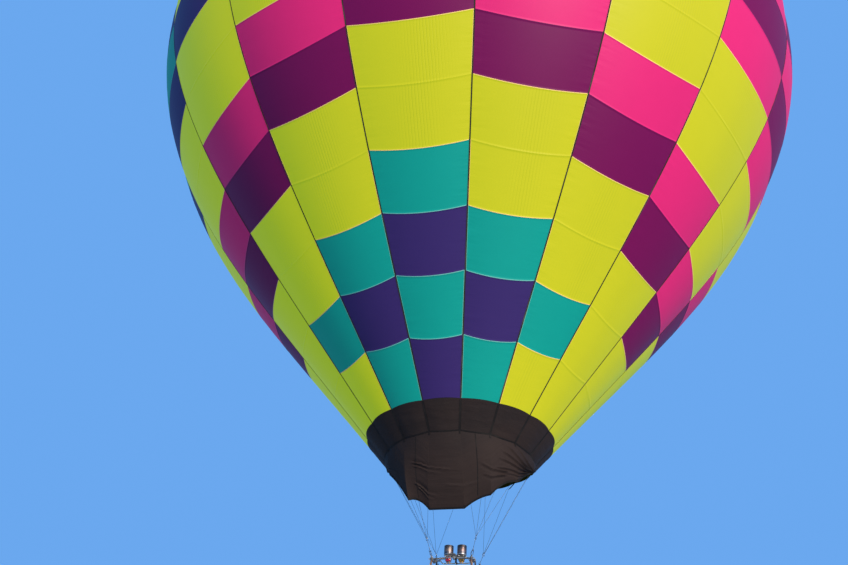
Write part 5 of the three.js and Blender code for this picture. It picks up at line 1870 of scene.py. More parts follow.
@dataclass
class Burner:
    """The crossbar with two cans, their coils and jets, and the valve bodies under them."""

    spacing: float = 0.305
    can_radius: float = 0.108
    can_low: float = -14.783
    can_high: float = -14.563
    wall: float = 0.004
    sheet: float = 0.0016
    coil_radius: float = 0.084
    coil_bar: float = 0.0118
    coil_pitch: float = 0.024
    coil_turns: int = 4
    plate: tuple[float, float, float] = (0.235, 0.062, 0.024)
    hanger: tuple[float, float, float] = (0.112, 0.012, 0.022)
    valve: tuple[float, float, float] = (0.116, 0.096, 0.124)
    gap: float = 0.00035
    slots: int = 16
    seam_azimuth: float = 35.0
    jet_ring: float = 0.046
    jets: int = 12
    grip_y: float = -0.118

    def make_crossbar(self) -> None:
        """Makes the plate under the cans, its hangers and pins."""
        top = self.can_low - self.gap
        low = top - self.plate[2]
        reach, depth, width = self.hanger
        pieces = [block("plate", DARK_PAINT, (-self.plate[0], -self.plate[1], low),
                        (self.plate[0], self.plate[1], top)),
                  block("bridge", DARK_PAINT, (-width, -reach, low), (width, reach, top - 0.0004))]
        for side in (1, -1):
            inner, outer = sorted((side * (reach - depth), side * reach))
            pieces.append(block("hanger", DARK_PAINT, (-width, inner, -14.922),
                                (width, outer, top - 0.0002), 0.003))
            y = side * (reach - depth / 2)
            pieces.append(bar("pin", STEEL, (0, y, -14.9), (0, side * 0.212, -14.9), 0.008))
            pieces.append(bar("pin_collar", STEEL, (0, side * reach, -14.9),
                              (0, side * (reach + 0.010), -14.9),
                              0.0145, 0.002))
            for across in (-0.013, 0.013):
                spot = (across, side * reach, top - 0.012)
                pieces.append(nut("hanger_bolt", STEEL, spot, (0, side, 0), 0.010, 0.012))
            for x in (-0.21, -0.095, 0.095, 0.21):
                pieces.append(nut("plate_bolt", STEEL, (x, side * 0.048, low), (0, 0, -1), 0.011, 0.012))
        place_piece(join("burner_crossbar_plate", pieces), "burner", "dark_steel", "burner_crossbar")

    def make_can(self, side: str, x: float) -> None:
        """Makes a can of thin sheet with air slots, a rolled rim, a band and a floor at its foot, and a lap
        seam with a row of rivets.
        """
        radius, low, high = self.can_radius, self.can_low, self.can_high
        obj = start("circle", vertices=96, radius=radius - 0.0006, location=(0.0, 0.0, low + 0.001))
        heights = (low + 0.001, low + 0.014, low + 0.020, low + 0.052, low + 0.058, low + 0.120, high - 0.012)
        rings = [(radius - 0.0006, height) for height in heights] + [(radius - 0.0030, high - 0.006)]
        with Bench(obj) as bench:
            bpy.ops.mesh.select_all(action="SELECT")
            draw_up(rings)
            bench.pick("FACE", lambda face: self.is_slot(face.calc_center_median()))
            bpy.ops.mesh.delete(type="FACE")
            face_outwards()
        apply_modifier(obj, "SOLIDIFY", thickness=self.sheet, offset=-1.0)
        pieces = [finish_piece(obj, "can_sheet", HEATED_STEEL, 35.0, False)]
        rim = circle(Z * (high - 0.0032), radius - 0.0030, 96)
        pieces.append(tube("rolled_rim", HEATED_STEEL, rim, 0.0030, True, 3))
        profile = ((radius - 0.0022, low), (radius - 0.0002, low + 0.0008), (radius - 0.0002, low + 0.010),
                   (radius - 0.0022, low + 0.011), (radius - 0.0022, low))
        pieces.append(turned("foot_band", STEEL, profile, 96, loop=True))
        pieces.append(sleeve("can_floor", STEEL, 0.030, radius - 0.003, low, low + 0.003, 64))
        seam = block("lap_seam", HEATED_STEEL, (-0.007, -radius + 0.0001, low + 0.060),
                     (0.007, -radius + 0.0020, high - 0.012), 0.0005, 1)
        turn = Matrix.Rotation(math.radians(self.seam_azimuth), 4, "Z")
        pieces.append(moved(seam, turn))
        for i in range(6):
            height = low + 0.070 + 0.022 * i
            rivet = turned("rivet", STEEL, ((0.0028, 0.0), (0.0022, 0.0006), (0.0008, 0.0009)), 12)
            pieces.append(moved(rivet, turn @ axes(X, Z, -Y, Vector((0.0, -radius + 0.0003, height)))))
        can = moved(join(f"burner_can_{side}_sheet", pieces), Matrix.Translation((x, 0.0, 0.0)))
        place_piece(can, "burner", "stainless_steel", f"burner_can_{side}")

    def is_slot(self, centre: Vector) -> bool:
        """Tells whether a face of the can is one of its air slots."""
        share = math.atan2(centre.y, centre.x) / TURN * self.slots % 1.0
        return self.can_low + 0.020 < centre.z < self.can_low + 0.052 and 0.3 < share < 0.7

    def make_coil(self, side: str, x: float) -> None:
        """Makes the coil of vapour tube with its jet ring and pilot light."""
        low = self.can_low + self.wall + self.gap + self.coil_bar
        steps = 28
        helix = []
        for i in range(self.coil_turns * steps - steps // 2):
            angle = TURN * i / steps
            lift = min(self.coil_pitch * i / steps, self.coil_pitch * (self.coil_turns - 1))
            helix.append(Vector((self.coil_radius * math.cos(angle), self.coil_radius * math.sin(angle),
                                 low + lift)))
        helix.append(helix[-1] + Vector((0.0, -0.020, -0.004)))
        pieces = [tube("coil", HEATED_STEEL, helix, self.coil_bar, False, 5)]
        middle = Z * (low + 0.004)
        pieces.append(tube("jet_ring", STEEL, circle(middle, self.jet_ring, 36), 0.0065, True, 3))
        jet = ((0.0042, 0.0), (0.0042, 0.006), (0.0022, 0.010), (0.0010, 0.010), (0.0010, 0.007))
        for spot in circle(Z * (low + 0.008), self.jet_ring, self.jets):
            pieces.append(turned("jet", BRASS, jet, 12, Matrix.Translation(spot)))
        for angle in (0.6, 3.74):
            spoke = Vector((math.cos(angle), math.sin(angle), 0.0))
            pieces.append(bar("feed", STEEL, middle + spoke * 0.010, middle + spoke * self.jet_ring, 0.005))
        cup = ((0.013, low - 0.008), (0.015, low - 0.004), (0.015, low + 0.024), (0.0138, low + 0.024),
               (0.0138, low - 0.004), (0.004, low - 0.005))
        pieces.append(turned("pilot_cup", HEATED_STEEL, cup, 32))
        coil = moved(join(f"burner_coil_{side}_wound", pieces), Matrix.Translation((x, 0.0, 0.0)))
        place_piece(coil, "burner", "stainless_steel", f"burner_coil_{side}")

    def make_valve(self, side: str, x: float, finish: Finish, slot: str) -> None:
        """Makes a valve body with its lever, gauge, side plugs and hose unions."""
        top = self.can_low - 2.0 * self.gap - self.plate[2]
        half_x, half_y = self.valve[0] / 2, self.valve[1] / 2
        low = top - self.valve[2]
        pieces = [block("body", finish, (-half_x, -half_y, low), (half_x, half_y, top - 0.018), 0.005, 3),
                  block("flange", DARK_PAINT, (-half_x, -half_y, top - 0.016), (half_x, half_y, top), 0.002),
                  block("neck", finish, (-half_x + 0.010, -half_y + 0.010, top - 0.020),
                        (half_x - 0.010, half_y - 0.010, top - 0.014), 0.001, 1)]
        lever = top - 0.062
        pieces.append(bar("lever_boss", BRASS, (0, -half_y + 0.002, lever), (0, -half_y - 0.014, lever),
                          0.018, 0.002))
        grip = Vector((0.0, self.grip_y, lever))
        pieces.append(bar("lever_arm", STEEL, (0, -half_y - 0.010, lever), grip, 0.0068, 0.001))
        paint = CRIMSON_PAINT if slot == "brass" else DARK_PAINT
        pieces.append(bar("lever_grip", paint, grip - X * 0.045, grip + X * 0.045, 0.009, 0.003))
        for spot in np.linspace(-0.034, 0.034, 9):
            ends = [grip + X * float(spot + aside) for aside in (-0.0014, 0.0014)]
            pieces.append(bar("grip_rib", BLACK_RUBBER, *ends, 0.0098, 0.0006, 20))
        gauge = top - 0.070
        case = [Vector((0.0, half_y + out, gauge)) for out in (-0.002, 0.020)]
        pieces.append(bar("gauge_case", BRASS, *case, 0.0300, 0.003, 40))
        back, front = (Vector((0.0, half_y + out, gauge)) for out in (0.019, 0.0205))
        pieces.append(bar("gauge_dial", PALE_THREAD, back, front, 0.025, 0.0002, 40))
        needle = block("needle", DARK_PAINT, (-0.001, 0, -0.004), (0.001, 0.0008, 0.020), 0.0003, 1)
        pieces.append(moved(needle, Matrix.Translation(front) @ Matrix.Rotation(math.radians(40.0), 4, "Y")))
        pieces.append(tube("bezel", BRASS, circle(front, 0.0265, 48, X, Z), 0.0022, True, 3))
        for sign in (1, -1):
            spot = (sign * 0.024, 0, low)
            pieces.append(nut("union_nut", BRASS, spot, (0, 0, -1), 0.028, 0.024))
            pieces.append(bar("union", BRASS, spot, (sign * 0.024, 0, low - 0.034), 0.0105, 0.0015))
            pieces.append(nut("side_plug", BRASS, (sign * half_x, 0.018, top - 0.050), (sign, 0, 0), 0.020,
                              0.016))
            pieces.append(bar("valve_wheel", DARK_PAINT, (sign * (half_x - 0.002), -0.020, top - 0.085),
                              (sign * (half_x + 0.016), -0.020, top - 0.085), 0.013, 0.002))
            for along in (-0.036, 0.036):
                pieces.append(nut("flange_bolt", STEEL, (sign * 0.046, along, top - 0.016), (0, 0, -1),
                                  0.009, 0.008))
        made = moved(join(f"valve_body_{side}_machined", pieces), Matrix.Translation((x, 0.0, 0.0)))
        place_piece(made, "burner", slot, f"valve_body_{side}")

    def make(self) -> None:
        """Makes the whole burner."""
        self.make_crossbar()
        sides = (("left", -1, CRIMSON_PAINT, "crimson_paint"), ("right", 1, BRASS, "brass"))
        for side, sign, finish, slot in sides:
            x = sign * self.spacing / 2
            self.make_can(side, x)
            self.make_coil(side, x)
            self.make_valve(side, x, finish, slot)


@dataclass
class Basket:
    """The wicker basket with its rim, handles, hide band, uprights, floor and runners."""

    half: tuple[float, float] = (0.600, 0.525)
    corner: float = 0.110
    wall: float = 0.030
    low: float = -16.950
    high: float = -15.868
    stakes: int = 72
    per_stake: int = 2
    cane: float = 0.0072
    wale_cane: float = 0.0075
    swing: float = 0.0076
    pitch: float = 0.0102
    wales: tuple[float, ...] = (-16.905, -16.640, -16.385, -16.010)
    foothold: tuple[float, float] = (0.150, 0.110)
    # Columns: side of the basket, middle along X, lowest height
    footholds: tuple[tuple[int, float, float], ...] = (
        (-1, -0.125, -16.570), (-1, 0.125, -16.240), (1, 0.125, -16.570), (1, -0.125, -16.240))
    rim_radius: float = 0.038
    rim_height: float = -15.8325
    border: float = 0.020
    skid_x: float = 0.33

    def outline(self, inset: float, height: float, count: int) -> np.ndarray:
        """Returns evenly spaced points round the basket, moved in from its outside by an inset."""
        loop = rounded_loop(self.half[0] - inset, self.half[1] - inset, self.corner - inset, height, 16, 20)
        closed = array([*loop, loop[0]])
        run = run_along(closed)
        spots = np.linspace(0.0, run[-1], count + 1)[:-1]
        return np.stack([np.interp(spots, run, closed[:, i]) for i in range(3)], axis=1)

    @staticmethod
    def outwards(loop: np.ndarray) -> np.ndarray:
        """Returns the level directions that point out of a loop."""
        along = np.roll(loop, -1, axis=0) - np.roll(loop, 1, axis=0)
        out = np.stack([along[:, 1], -along[:, 0], np.zeros(len(loop))], axis=1)
        return out / np.linalg.norm(out, axis=1)[:, None]

    def cut(self, path: np.ndarray) -> list[tuple[np.ndarray, bool]]:
        """Splits a closed level cane at the footholds that it meets."""
        blocked = np.zeros(len(path), bool)
        for side, middle, low in self.footholds:
            near = np.abs(path[:, 0] - middle) < self.foothold[0] / 2 + 0.004
            near &= path[:, 1] * side > self.half[1] - 0.10
            inside = (path[:, 2] > low - 0.004) & (path[:, 2] < low + self.foothold[1] + 0.004)
            blocked |= near & inside
        if not blocked.any():
            return [(path, True)]
        first = int(np.argmax(blocked))
        path, blocked = np.roll(path, -first, axis=0), np.roll(blocked, -first)
        runs, begin = [], None
        for i, stop in enumerate(blocked):
            if not stop and begin is None:
                begin = i
            if stop and begin is not None:
                runs.append((path[begin:i], False))
                begin = None
        if begin is not None:
            runs.append((path[begin:], False))
        return [run for run in runs if len(run[0]) > 3]

    def make_weave(self) -> bpy.types.Object:
        """Weaves the walls: canes that pass before and behind the upright stakes, and twisted bands."""
        count = self.stakes * self.per_stake * 2
        middle = self.outline(self.wall / 2, 0.0, count)
        out = self.outwards(middle)
        phase = np.arange(count) / (2.0 * self.per_stake) * math.pi
        paths, radii, closed = [], [], []
        rows = int((self.high - self.low - 0.022) / self.pitch)
        random = np.random.default_rng(11)
        for row in range(rows):
            height = self.low + 0.022 + row * self.pitch
            if min(abs(height - wale) for wale in self.wales) < 0.018:
                continue
            swing = self.swing * np.cos(phase + math.pi * row)
            path = middle + out * swing[:, None]
            path[:, 2] = (height + 0.0012 * np.sin(phase * 0.37 + row * 1.9)
                          + random.normal(0.0, 0.0002, count))
            for run, whole in self.cut(path[1::2]):
                paths.append(run)
                radii.append(self.cane * random.uniform(0.93, 1.06))
                closed.append(whole)
        for wale in self.wales:
            for strand in range(3):
                turn = phase + strand * TURN / 3
                path = middle + out * (0.0078 * np.cos(turn * 2.0))[:, None]
                path[:, 2] = wale + 0.0112 * np.sin(turn * 2.0)
                for run, whole in self.cut(path):
                    paths.append(run)
                    radii.append(self.wale_cane)
                    closed.append(whole)
        return strands("weave", WILLOW, paths, radii, 5, closed, (0.0, 0.0, 1.0), 3)

    def make_stakes(self) -> bpy.types.Object:
        """Makes the upright stakes, cut at the footholds."""
        feet = self.outline(self.wall / 2, 0.0, self.stakes)
        paths = []
        for x, y, _ in feet:
            spans = [(self.low + 0.004, self.high - 0.002)]
            for side, middle, low in self.footholds:
                if y * side > self.half[1] - 0.10 and abs(x - middle) < self.foothold[0] / 2 + 0.003:
                    below, above = low - 0.002, low + self.foothold[1] + 0.002
                    spans = [span for a, b in spans for span in ((a, min(b, below)), (max(a, above), b))
                             if span[1] - span[0] > 0.01]
            for a, b in spans:
                paths.append(np.array([(x, y, height) for height in np.linspace(a, b, 6)]))
        return strands("stakes", WILLOW, paths, [0.0062] * len(paths), 6, [False] * len(paths),
                       (1.0, 0.2, 0.0), 5)

    def make_borders(self) -> bpy.types.Object:
        """Makes the plaited rolls round the footholds, and the lining of each."""
        paths, closed = [], []
        pieces = []
        for side, middle, low in self.footholds:
            rim = self.border / 2
            centre = Vector((middle, side * self.half[1], low + self.foothold[1] / 2))
            half_x, half_z = self.foothold[0] / 2 + rim, self.foothold[1] / 2 + rim
            loop = rounded_loop(half_x, half_z, 0.018, 0.0, 6, 14)
            flat = array(loop)
            steps = np.arange(len(flat)) / len(flat) * TURN * 14
            inward = self.outwards(flat)
            for strand in range(3):
                turn = steps + strand * TURN / 3
                cane = flat + inward * (0.0050 * np.cos(turn))[:, None]
                paths.append(np.stack([centre.x + cane[:, 0], centre.y + 0.0055 * np.sin(turn),
                                       centre.z + cane[:, 1]], axis=1))
                closed.append(True)
            liner = rounded_loop(self.foothold[0] / 2 + 0.002, self.foothold[1] / 2 + 0.002, 0.010, 0.0, 5)
            depths = np.linspace(0.004, -self.wall - 0.002, 5)
            points = np.array([[(centre.x + point.x, centre.y + side * depth, centre.z + point.y)
                                for point in (*liner, liner[0])] for depth in depths])
            grid = np.indices(points.shape[:2]).transpose(1, 2, 0)[:, :, ::-1] * 0.02
            pieces.append(Sheet(points, grid, wrap=True).make("liner", [TAN_LEATHER], 0.0025, 0.0))
        rolls = strands("rolls", WILLOW, paths, [0.0056] * len(paths), 6, closed, (0.0, 1.0, 0.0), 9)
        return join("foothold_borders", [rolls, *pieces])

    def make_band(self) -> bpy.types.Object:
        """Makes the hide band that wraps the foot of the basket, with its roll and lacing."""
        count = 160
        profile = ((0.0018, -16.762), (0.0030, -16.780), (0.0034, -16.830), (0.0034, -16.885),
                   (0.0070, -16.902), (0.0150, -16.912), (0.0195, -16.922), (0.0200, -16.932),
                   (0.0180, -16.942), (0.0100, -16.948), (-0.0050, -16.9495), (-0.0250, -16.9495))
        points = np.zeros((len(profile), count + 1, 3))
        flat = np.zeros((len(profile), count + 1, 2))
        base = self.outline(0.0, 0.0, count)
        out = self.outwards(base)
        for i, (off, height) in enumerate(profile):
            for j in range(count + 1):
                k = j % count
                ripple = 0.0008 * math.sin(k * 1.7) + 0.0006 * math.sin(k * 0.61 + i)
                points[i, j] = base[k] + out[k] * (off + (ripple if 0 < i < 8 else 0.0))
                points[i, j, 2] = height + (0.0006 * math.sin(k * 0.9) if i == 0 else 0.0)
                flat[i, j] = (j * 0.026, height)
        order = slice(None, None, -1)
        band = Sheet(points[order], flat[order], wrap=True).make("hide_band", [TAN_LEATHER], 0.0022)
        line = [Vector(point) for point in (base + out * 0.0042 + np.array((0.0, 0.0, -16.775))).tolist()]
        normals = [Vector(normal) for normal in out.tolist()]
        lacing = stitches("lacing", PALE_THREAD, line + line[:1], normals + normals[:1], 0.024, 0.014, 0.0016)
        return join("hide_band", [band, lacing])

    def make_rim(self) -> None:
        """Makes the padded rim in sewn lengths that pull in at their seams."""
        count, sides, lengths = 288, 20, 16
        centre = self.outline(self.wall / 2, 0.0, count)
        out = self.outwards(centre)
        points = np.zeros((count, sides, 3))
        for k in range(count):
            share = (k / count * lengths) % 1.0
            seam = min(share, 1.0 - share)
            waist = 1.0 - 0.075 * dip(seam, 0.028) - 0.012 * math.sin(k * 2.3) * math.exp(-seam / 0.15)
            for j in range(sides):
                angle = TURN * j / sides
                radius = (self.rim_radius - 0.0012) * waist - 0.0022 * dip(angle - 1.5 * math.pi, 0.10)
                radius *= 1.0 - 0.07 * max(0.0, -math.sin(angle)) ** 6
                points[k, j] = centre[k] + out[k] * radius * math.cos(angle)
                points[k, j, 2] = self.rim_height + radius * math.sin(angle)
        pieces = [self.skin("rim_pad", points, TAN_LEATHER)]
        for side in (0.9, -0.9):
            line, normals = [], []
            for k in range(0, count + 1, 2):
                angle = 1.5 * math.pi + side * 0.28
                normal = Vector((out[k % count] * math.cos(angle)).tolist()) + Vector((0, 0, math.sin(angle)))
                spot = Vector(centre[k % count].tolist()) + normal * (self.rim_radius - 0.0030)
                line.append(Vector((spot.x, spot.y, self.rim_height + normal.z * (self.rim_radius - 0.0030))))
                normals.append(normal)
            pieces.append(stitches("rim_stitches", PALE_THREAD, line, normals, 0.016, 0.010, 0.0011))
        obj = join("basket_rim_padded", pieces)
        place_piece(obj, "balloon", "leather", "basket_rim")

    def skin(self, name: str, points: np.ndarray, finish: Finish) -> bpy.types.Object:
        """Makes a skin that closes on itself both ways, from rings of points."""
        rings, sides = points.shape[:2]
        faces = []
        for i in range(rings):
            here, there = i * sides, (i + 1) % rings * sides
            faces += [(here + j, there + j, there + (j + 1) % sides, here + (j + 1) % sides)
                      for j in range(sides)]
        obj = add_mesh(name, points.reshape(-1, 3).tolist(), faces)
        with Bench(obj):
            face_outwards()
        return finish_piece(obj, name, finish, 60.0, False)

    def make_uprights(self) -> None:
        """Makes the padded uprights, laced along one side and cuffed at both ends."""
        for corner in CORNERS:
            foot = Vector((corner.x * 0.557, corner.y * 0.482, -15.7970))
            top = Vector((corner.x * 0.450, corner.y * 0.400, -15.0345))
            along = top - foot
            out = Vector((corner.x, corner.y, 0.0)).normalized()
            side = Vector((-out.y, out.x, 0.0))
            rings, sides = 60, 20
            places, faces = [], []
            for i in range(rings + 1):
                share = i / rings
                swell = 0.0252 + 0.0006 * math.sin(share * 37.0 + corner.x)
                swell -= 0.0030 * (dip(share, 0.012) + dip(1.0 - share, 0.012))
                swell -= 0.0018 * sum(dip(share - cuff, 0.006) for cuff in (0.055, 0.945, 0.5))
                for j in range(sides):
                    angle = TURN * j / sides
                    radius = swell - 0.0014 * dip(min(angle, TURN - angle), 0.14)
                    away = out * math.cos(angle) + side * math.sin(angle)
                    places.append(tuple(foot + along * share + away * radius))
            for i in range(rings):
                faces += [(i * sides + j, i * sides + (j + 1) % sides, (i + 1) * sides + (j + 1) % sides,
                           (i + 1) * sides + j) for j in range(sides)]
            faces.append(tuple(range(sides))[::-1])
            faces.append(tuple(rings * sides + j for j in range(sides)))
            pieces = [finish_piece(add_mesh("sleeve", places, faces), "sleeve", TAN_LEATHER, 60.0, False)]
            for turn in (0.22, -0.22):
                normal = out * math.cos(turn) + side * math.sin(turn)
                line = [foot + along * (0.07 + 0.86 * i / 30) + normal * 0.0249 for i in range(31)]
                pieces.append(stitches("lacing", PALE_THREAD, line, [normal] * 31, 0.015, 0.009, 0.0011))
            obj = join(f"upright_{corner.name}_padded", pieces)
            place_piece(obj, "balloon", "leather", f"upright_{corner.name}")

    def make_handles(self) -> bpy.types.Object:
        """Makes the four leather-covered lifting handles on the side walls."""
        pieces = []
        for side in (1, -1):
            for middle in (-0.150, 0.150):
                path = []
                for i in range(33):
                    angle = math.pi * i / 32
                    reach = 0.052 * min(1.0, 1.35 * math.sin(angle) ** 0.6) if 0 < i < 32 else 0.0
                    path.append(Vector((side * (self.half[0] - 0.004 + reach),
                                        middle - 0.110 * math.cos(angle),
                                        -16.180 - 0.006 * math.sin(angle))))
                pieces.append(tube("handle", TAN_LEATHER, path, 0.0105, False, 5))
                pieces.append(tube("handle_wrap", TAN_LEATHER, path[8:25], 0.0128, False, 5))
                normals = [Vector((side, 0.0, 0.0))] * 17
                line = [point + Vector((side * 0.0126, 0.0, 0.0)) for point in path[8:25]]
                pieces.append(stitches("handle_stitch", PALE_THREAD, line, normals, 0.010, 0.006, 0.0009))
                for end in (-0.104, 0.104):
                    ends = [(side * (self.half[0] + out), middle + end, -16.180) for out in (0.001, 0.005)]
                    pieces.append(bar("handle_washer", TAN_LEATHER, *ends, 0.022, 0.001))
        return join("handles", pieces)

    def make_floor(self) -> None:
        """Makes the plywood floor with rounded corners and rows of screws."""
        inset = self.wall + 0.0004
        top, low = -16.932, -16.950
        loop = rounded_loop(self.half[0] - inset, self.half[1] - inset, self.corner - inset, 0.0, 8)
        obj = start("circle", vertices=len(loop), radius=0.5, fill_type="NGON", location=(0.0, 0.0, low))
        for point, spot in zip(obj.data.vertices, loop):
            point.co = (spot.x, spot.y, low)
        with Bench(obj):
            face_outwards()
        apply_modifier(obj, "SOLIDIFY", thickness=top - low, offset=0.0)
        middle = sum(vertex.co.z for vertex in obj.data.vertices) / len(obj.data.vertices)
        moved(obj, Matrix.Translation(Z * ((top + low) / 2 - middle)))
        apply_modifier(obj, "BEVEL", width=0.002, segments=2, limit_method="ANGLE",
                       angle_limit=math.radians(60.0))
        pieces = [finish_piece(obj, "floor_board", PLYWOOD, 35.0)]
        screw = ((0.0055, 0.0), (0.0052, 0.0008), (0.0030, 0.0009), (0.0028, 0.0002))
        for x in (-self.skid_x, self.skid_x):
            for y in np.linspace(-0.42, 0.42, 7):
                place = Matrix.Translation((x, float(y), top - 0.0006))
                pieces.append(turned("screw", STEEL, screw, 16, place))
        place_piece(join("basket_floor_board", pieces), "balloon", "plywood", "basket_floor")

    def make_runner(self, side: str, x: float) -> None:
        """Makes an oiled runner with rounded ends and coach bolts."""
        top, depth, half = -16.95035, 0.050, 0.560
        obj = start("cube", size=1.0, location=(x, 0.0, top - depth / 2), scale=(0.070, 2 * half, depth))
        with Bench(obj) as bench:
            bench.pick("EDGE", lambda edge: all(abs(v.co.y) > half - 1e-4 and v.co.z < top - depth + 1e-4
                                                for v in edge.verts))
            bpy.ops.mesh.bevel(offset=0.030, segments=6, affect="EDGES")
            bpy.ops.mesh.select_all(action="SELECT")
            bench.pick("EDGE", lambda edge: edge.calc_face_angle(0.0) > 0.9)
            bpy.ops.mesh.bevel(offset=0.004, segments=2, affect="EDGES")
        pieces = [finish_piece(obj, "runner", ASH, 35.0)]
        bolt = ((0.013, 0.0), (0.0125, 0.0012), (0.008, 0.0028), (0.003, 0.003))
        for y in (-0.42, -0.14, 0.14, 0.42):
            place = axes(X, -Y, -Z, Vector((x, y, top - depth + 0.003)))
            pieces.append(turned("coach_bolt", STEEL, bolt, 24, place))
        place_piece(join(f"skid_{side}_runner", pieces), "balloon", "hardwood", f"skid_{side}")

    def make(self) -> None:
        """Makes the whole basket."""
        woven = join("basket_walls_woven", [self.make_weave(), self.make_stakes()])
        place_piece(woven, "balloon", "wicker", "basket_walls")
        place_piece(self.make_borders(), "balloon", "wicker")
        place_piece(self.make_band(), "balloon", "leather")
        place_piece(self.make_handles(), "balloon", "leather")
        self.make_rim()
        self.make_uprights()
        self.make_floor()
        self.make_runner("left", -self.skid_x)
        self.make_runner("right", self.skid_x)


@dataclass
class FuelCylinders:
    """Four fuel cylinders in padded jackets, strapped into the basket's corners."""

    place: tuple[float, float] = (0.428, 0.353)
    low: float = -16.93165
    radius: float = 0.130

    def make_one(self, corner: Corner) -> None:
        """Makes a cylinder with its foot ring, jacket, straps, collar and valve."""
        low, radius = self.low, self.radius
        body = ((radius - 0.015, low + 0.004), (radius - 0.004, low + 0.010), (radius, low + 0.024),
                (radius, low + 0.690), (radius - 0.004, low + 0.718), (radius - 0.016, low + 0.744),
                (radius - 0.034, low + 0.764), (radius - 0.060, low + 0.775), (0.034, low + 0.779),
                (0.030, low + 0.779))
        pieces = [turned("cylinder", ALUMINIUM, body, 64)]
        pieces.append(sleeve("foot_ring", ALUMINIUM, radius - 0.016, radius - 0.010, low, low + 0.012, 64))
        jacket = [(radius + 0.0005, low + 0.062)]
        for i in range(25):
            share = i / 24
            stitched = 0.0022 * abs(math.sin(share * math.pi * 4)) ** 8
            jacket.append((radius + 0.0048 - stitched, low + 0.066 + 0.568 * share))
        jacket += [(radius + 0.0005, low + 0.638), (radius + 0.0005, low + 0.062)]
        cover = turned("jacket", JACKET, jacket, 64, loop=True)
        collar = start("circle", vertices=64, radius=radius - 0.0255, location=(0.0, 0.0, low + 0.752))
        with Bench(collar) as bench:
            bpy.ops.mesh.select_all(action="SELECT")
            for rise in (0.028, 0.046, 0.0195):
                bpy.ops.mesh.extrude_edges_indiv()
                bpy.ops.transform.translate(value=(0.0, 0.0, rise))
            bench.pick("FACE", lambda face: self.is_window(face.calc_center_median()))
            bpy.ops.mesh.delete(type="FACE")
            face_outwards()
        apply_modifier(collar, "SOLIDIFY", thickness=0.0035, offset=-1.0)
        apply_modifier(collar, "BEVEL", width=0.0008, segments=2, limit_method="ANGLE", angle_limit=1.0)
        pieces.append(finish_piece(collar, "collar", ALUMINIUM, 40.0, False))
        lip = circle(Z * (low + 0.8455), radius - 0.0273, 64)
        pieces.append(tube("collar_lip", ALUMINIUM, lip, 0.0035, True, 3))
        pieces += self.make_fittings(low)
        inward = Matrix.Rotation(math.atan2(-corner.y, -corner.x), 4, "Z")
        for height in (0.180, 0.520):
            foot, head = low + height, low + height + 0.050
            pieces.append(sleeve("belt", STRAP, radius + 0.0046, radius + 0.0070, foot, head, 64))
            buckle = block("buckle", STEEL, (radius + 0.0066, -0.032, foot - 0.004),
                           (radius + 0.0106, 0.032, head + 0.004), 0.0015)
            pieces.append(moved(buckle, inward))
        spot = Matrix.Translation((corner.x * self.place[0], corner.y * self.place[1], 0.0))
        whole = moved(join(f"fuel_cylinder_{corner.name}_fitted", pieces), spot)
        place_piece(whole, "balloon", "bare_aluminium", f"fuel_cylinder_{corner.name}")
        moved(cover, spot)
        cover.name = f"cylinder_jacket_{corner.name}"
        place_piece(cover, "balloon", "leather")

    def is_window(self, centre: Vector) -> bool:
        """Tells whether a face of the collar lies in one of its three windows."""
        share = math.atan2(centre.y, centre.x) / TURN * 3 % 1.0
        return self.low + 0.784 < centre.z < self.low + 0.822 and share > 0.42

    def make_fittings(self, low: float) -> list[bpy.types.Object]:
        """Makes the valve, its wheel and its gauge inside the collar."""
        stem = ((0.028, low + 0.774), (0.028, low + 0.782), (0.020, low + 0.784), (0.014, low + 0.790),
                (0.014, low + 0.812))
        pieces = [turned("valve_stem", BRASS, stem, 32)]
        pieces.append(bar("outlet", BRASS, (0.0, 0.0, low + 0.798), (0.0, 0.048, low + 0.798), 0.010, 0.0015))
        pieces.append(nut("outlet_nut", BRASS, (0.0, 0.034, low + 0.798), (0, 1, 0), 0.026, 0.016))
        hub = Z * (low + 0.820)
        pieces.append(tube("hand_wheel", CRIMSON_PAINT, circle(hub, 0.022, 40), 0.0042, True, 3))
        for arm in (X * 0.021, Y * 0.021):
            pieces.append(bar("wheel_spoke", CRIMSON_PAINT, hub - arm, hub + arm, 0.003, 0.0005, 12))
        place = Matrix.Translation((0.058, -0.020, 0.0))
        case = ((0.022, low + 0.776), (0.024, low + 0.778), (0.024, low + 0.786), (0.020, low + 0.789))
        pieces.append(turned("contents_gauge", BRASS, case, 32, place))
        face = ((0.0195, low + 0.7885), (0.0190, low + 0.7895))
        pieces.append(turned("gauge_face", PALE_THREAD, face, 32, place))
        return pieces

    def make(self) -> None:
        """Makes all four."""
        for corner in CORNERS:
            self.make_one(corner)


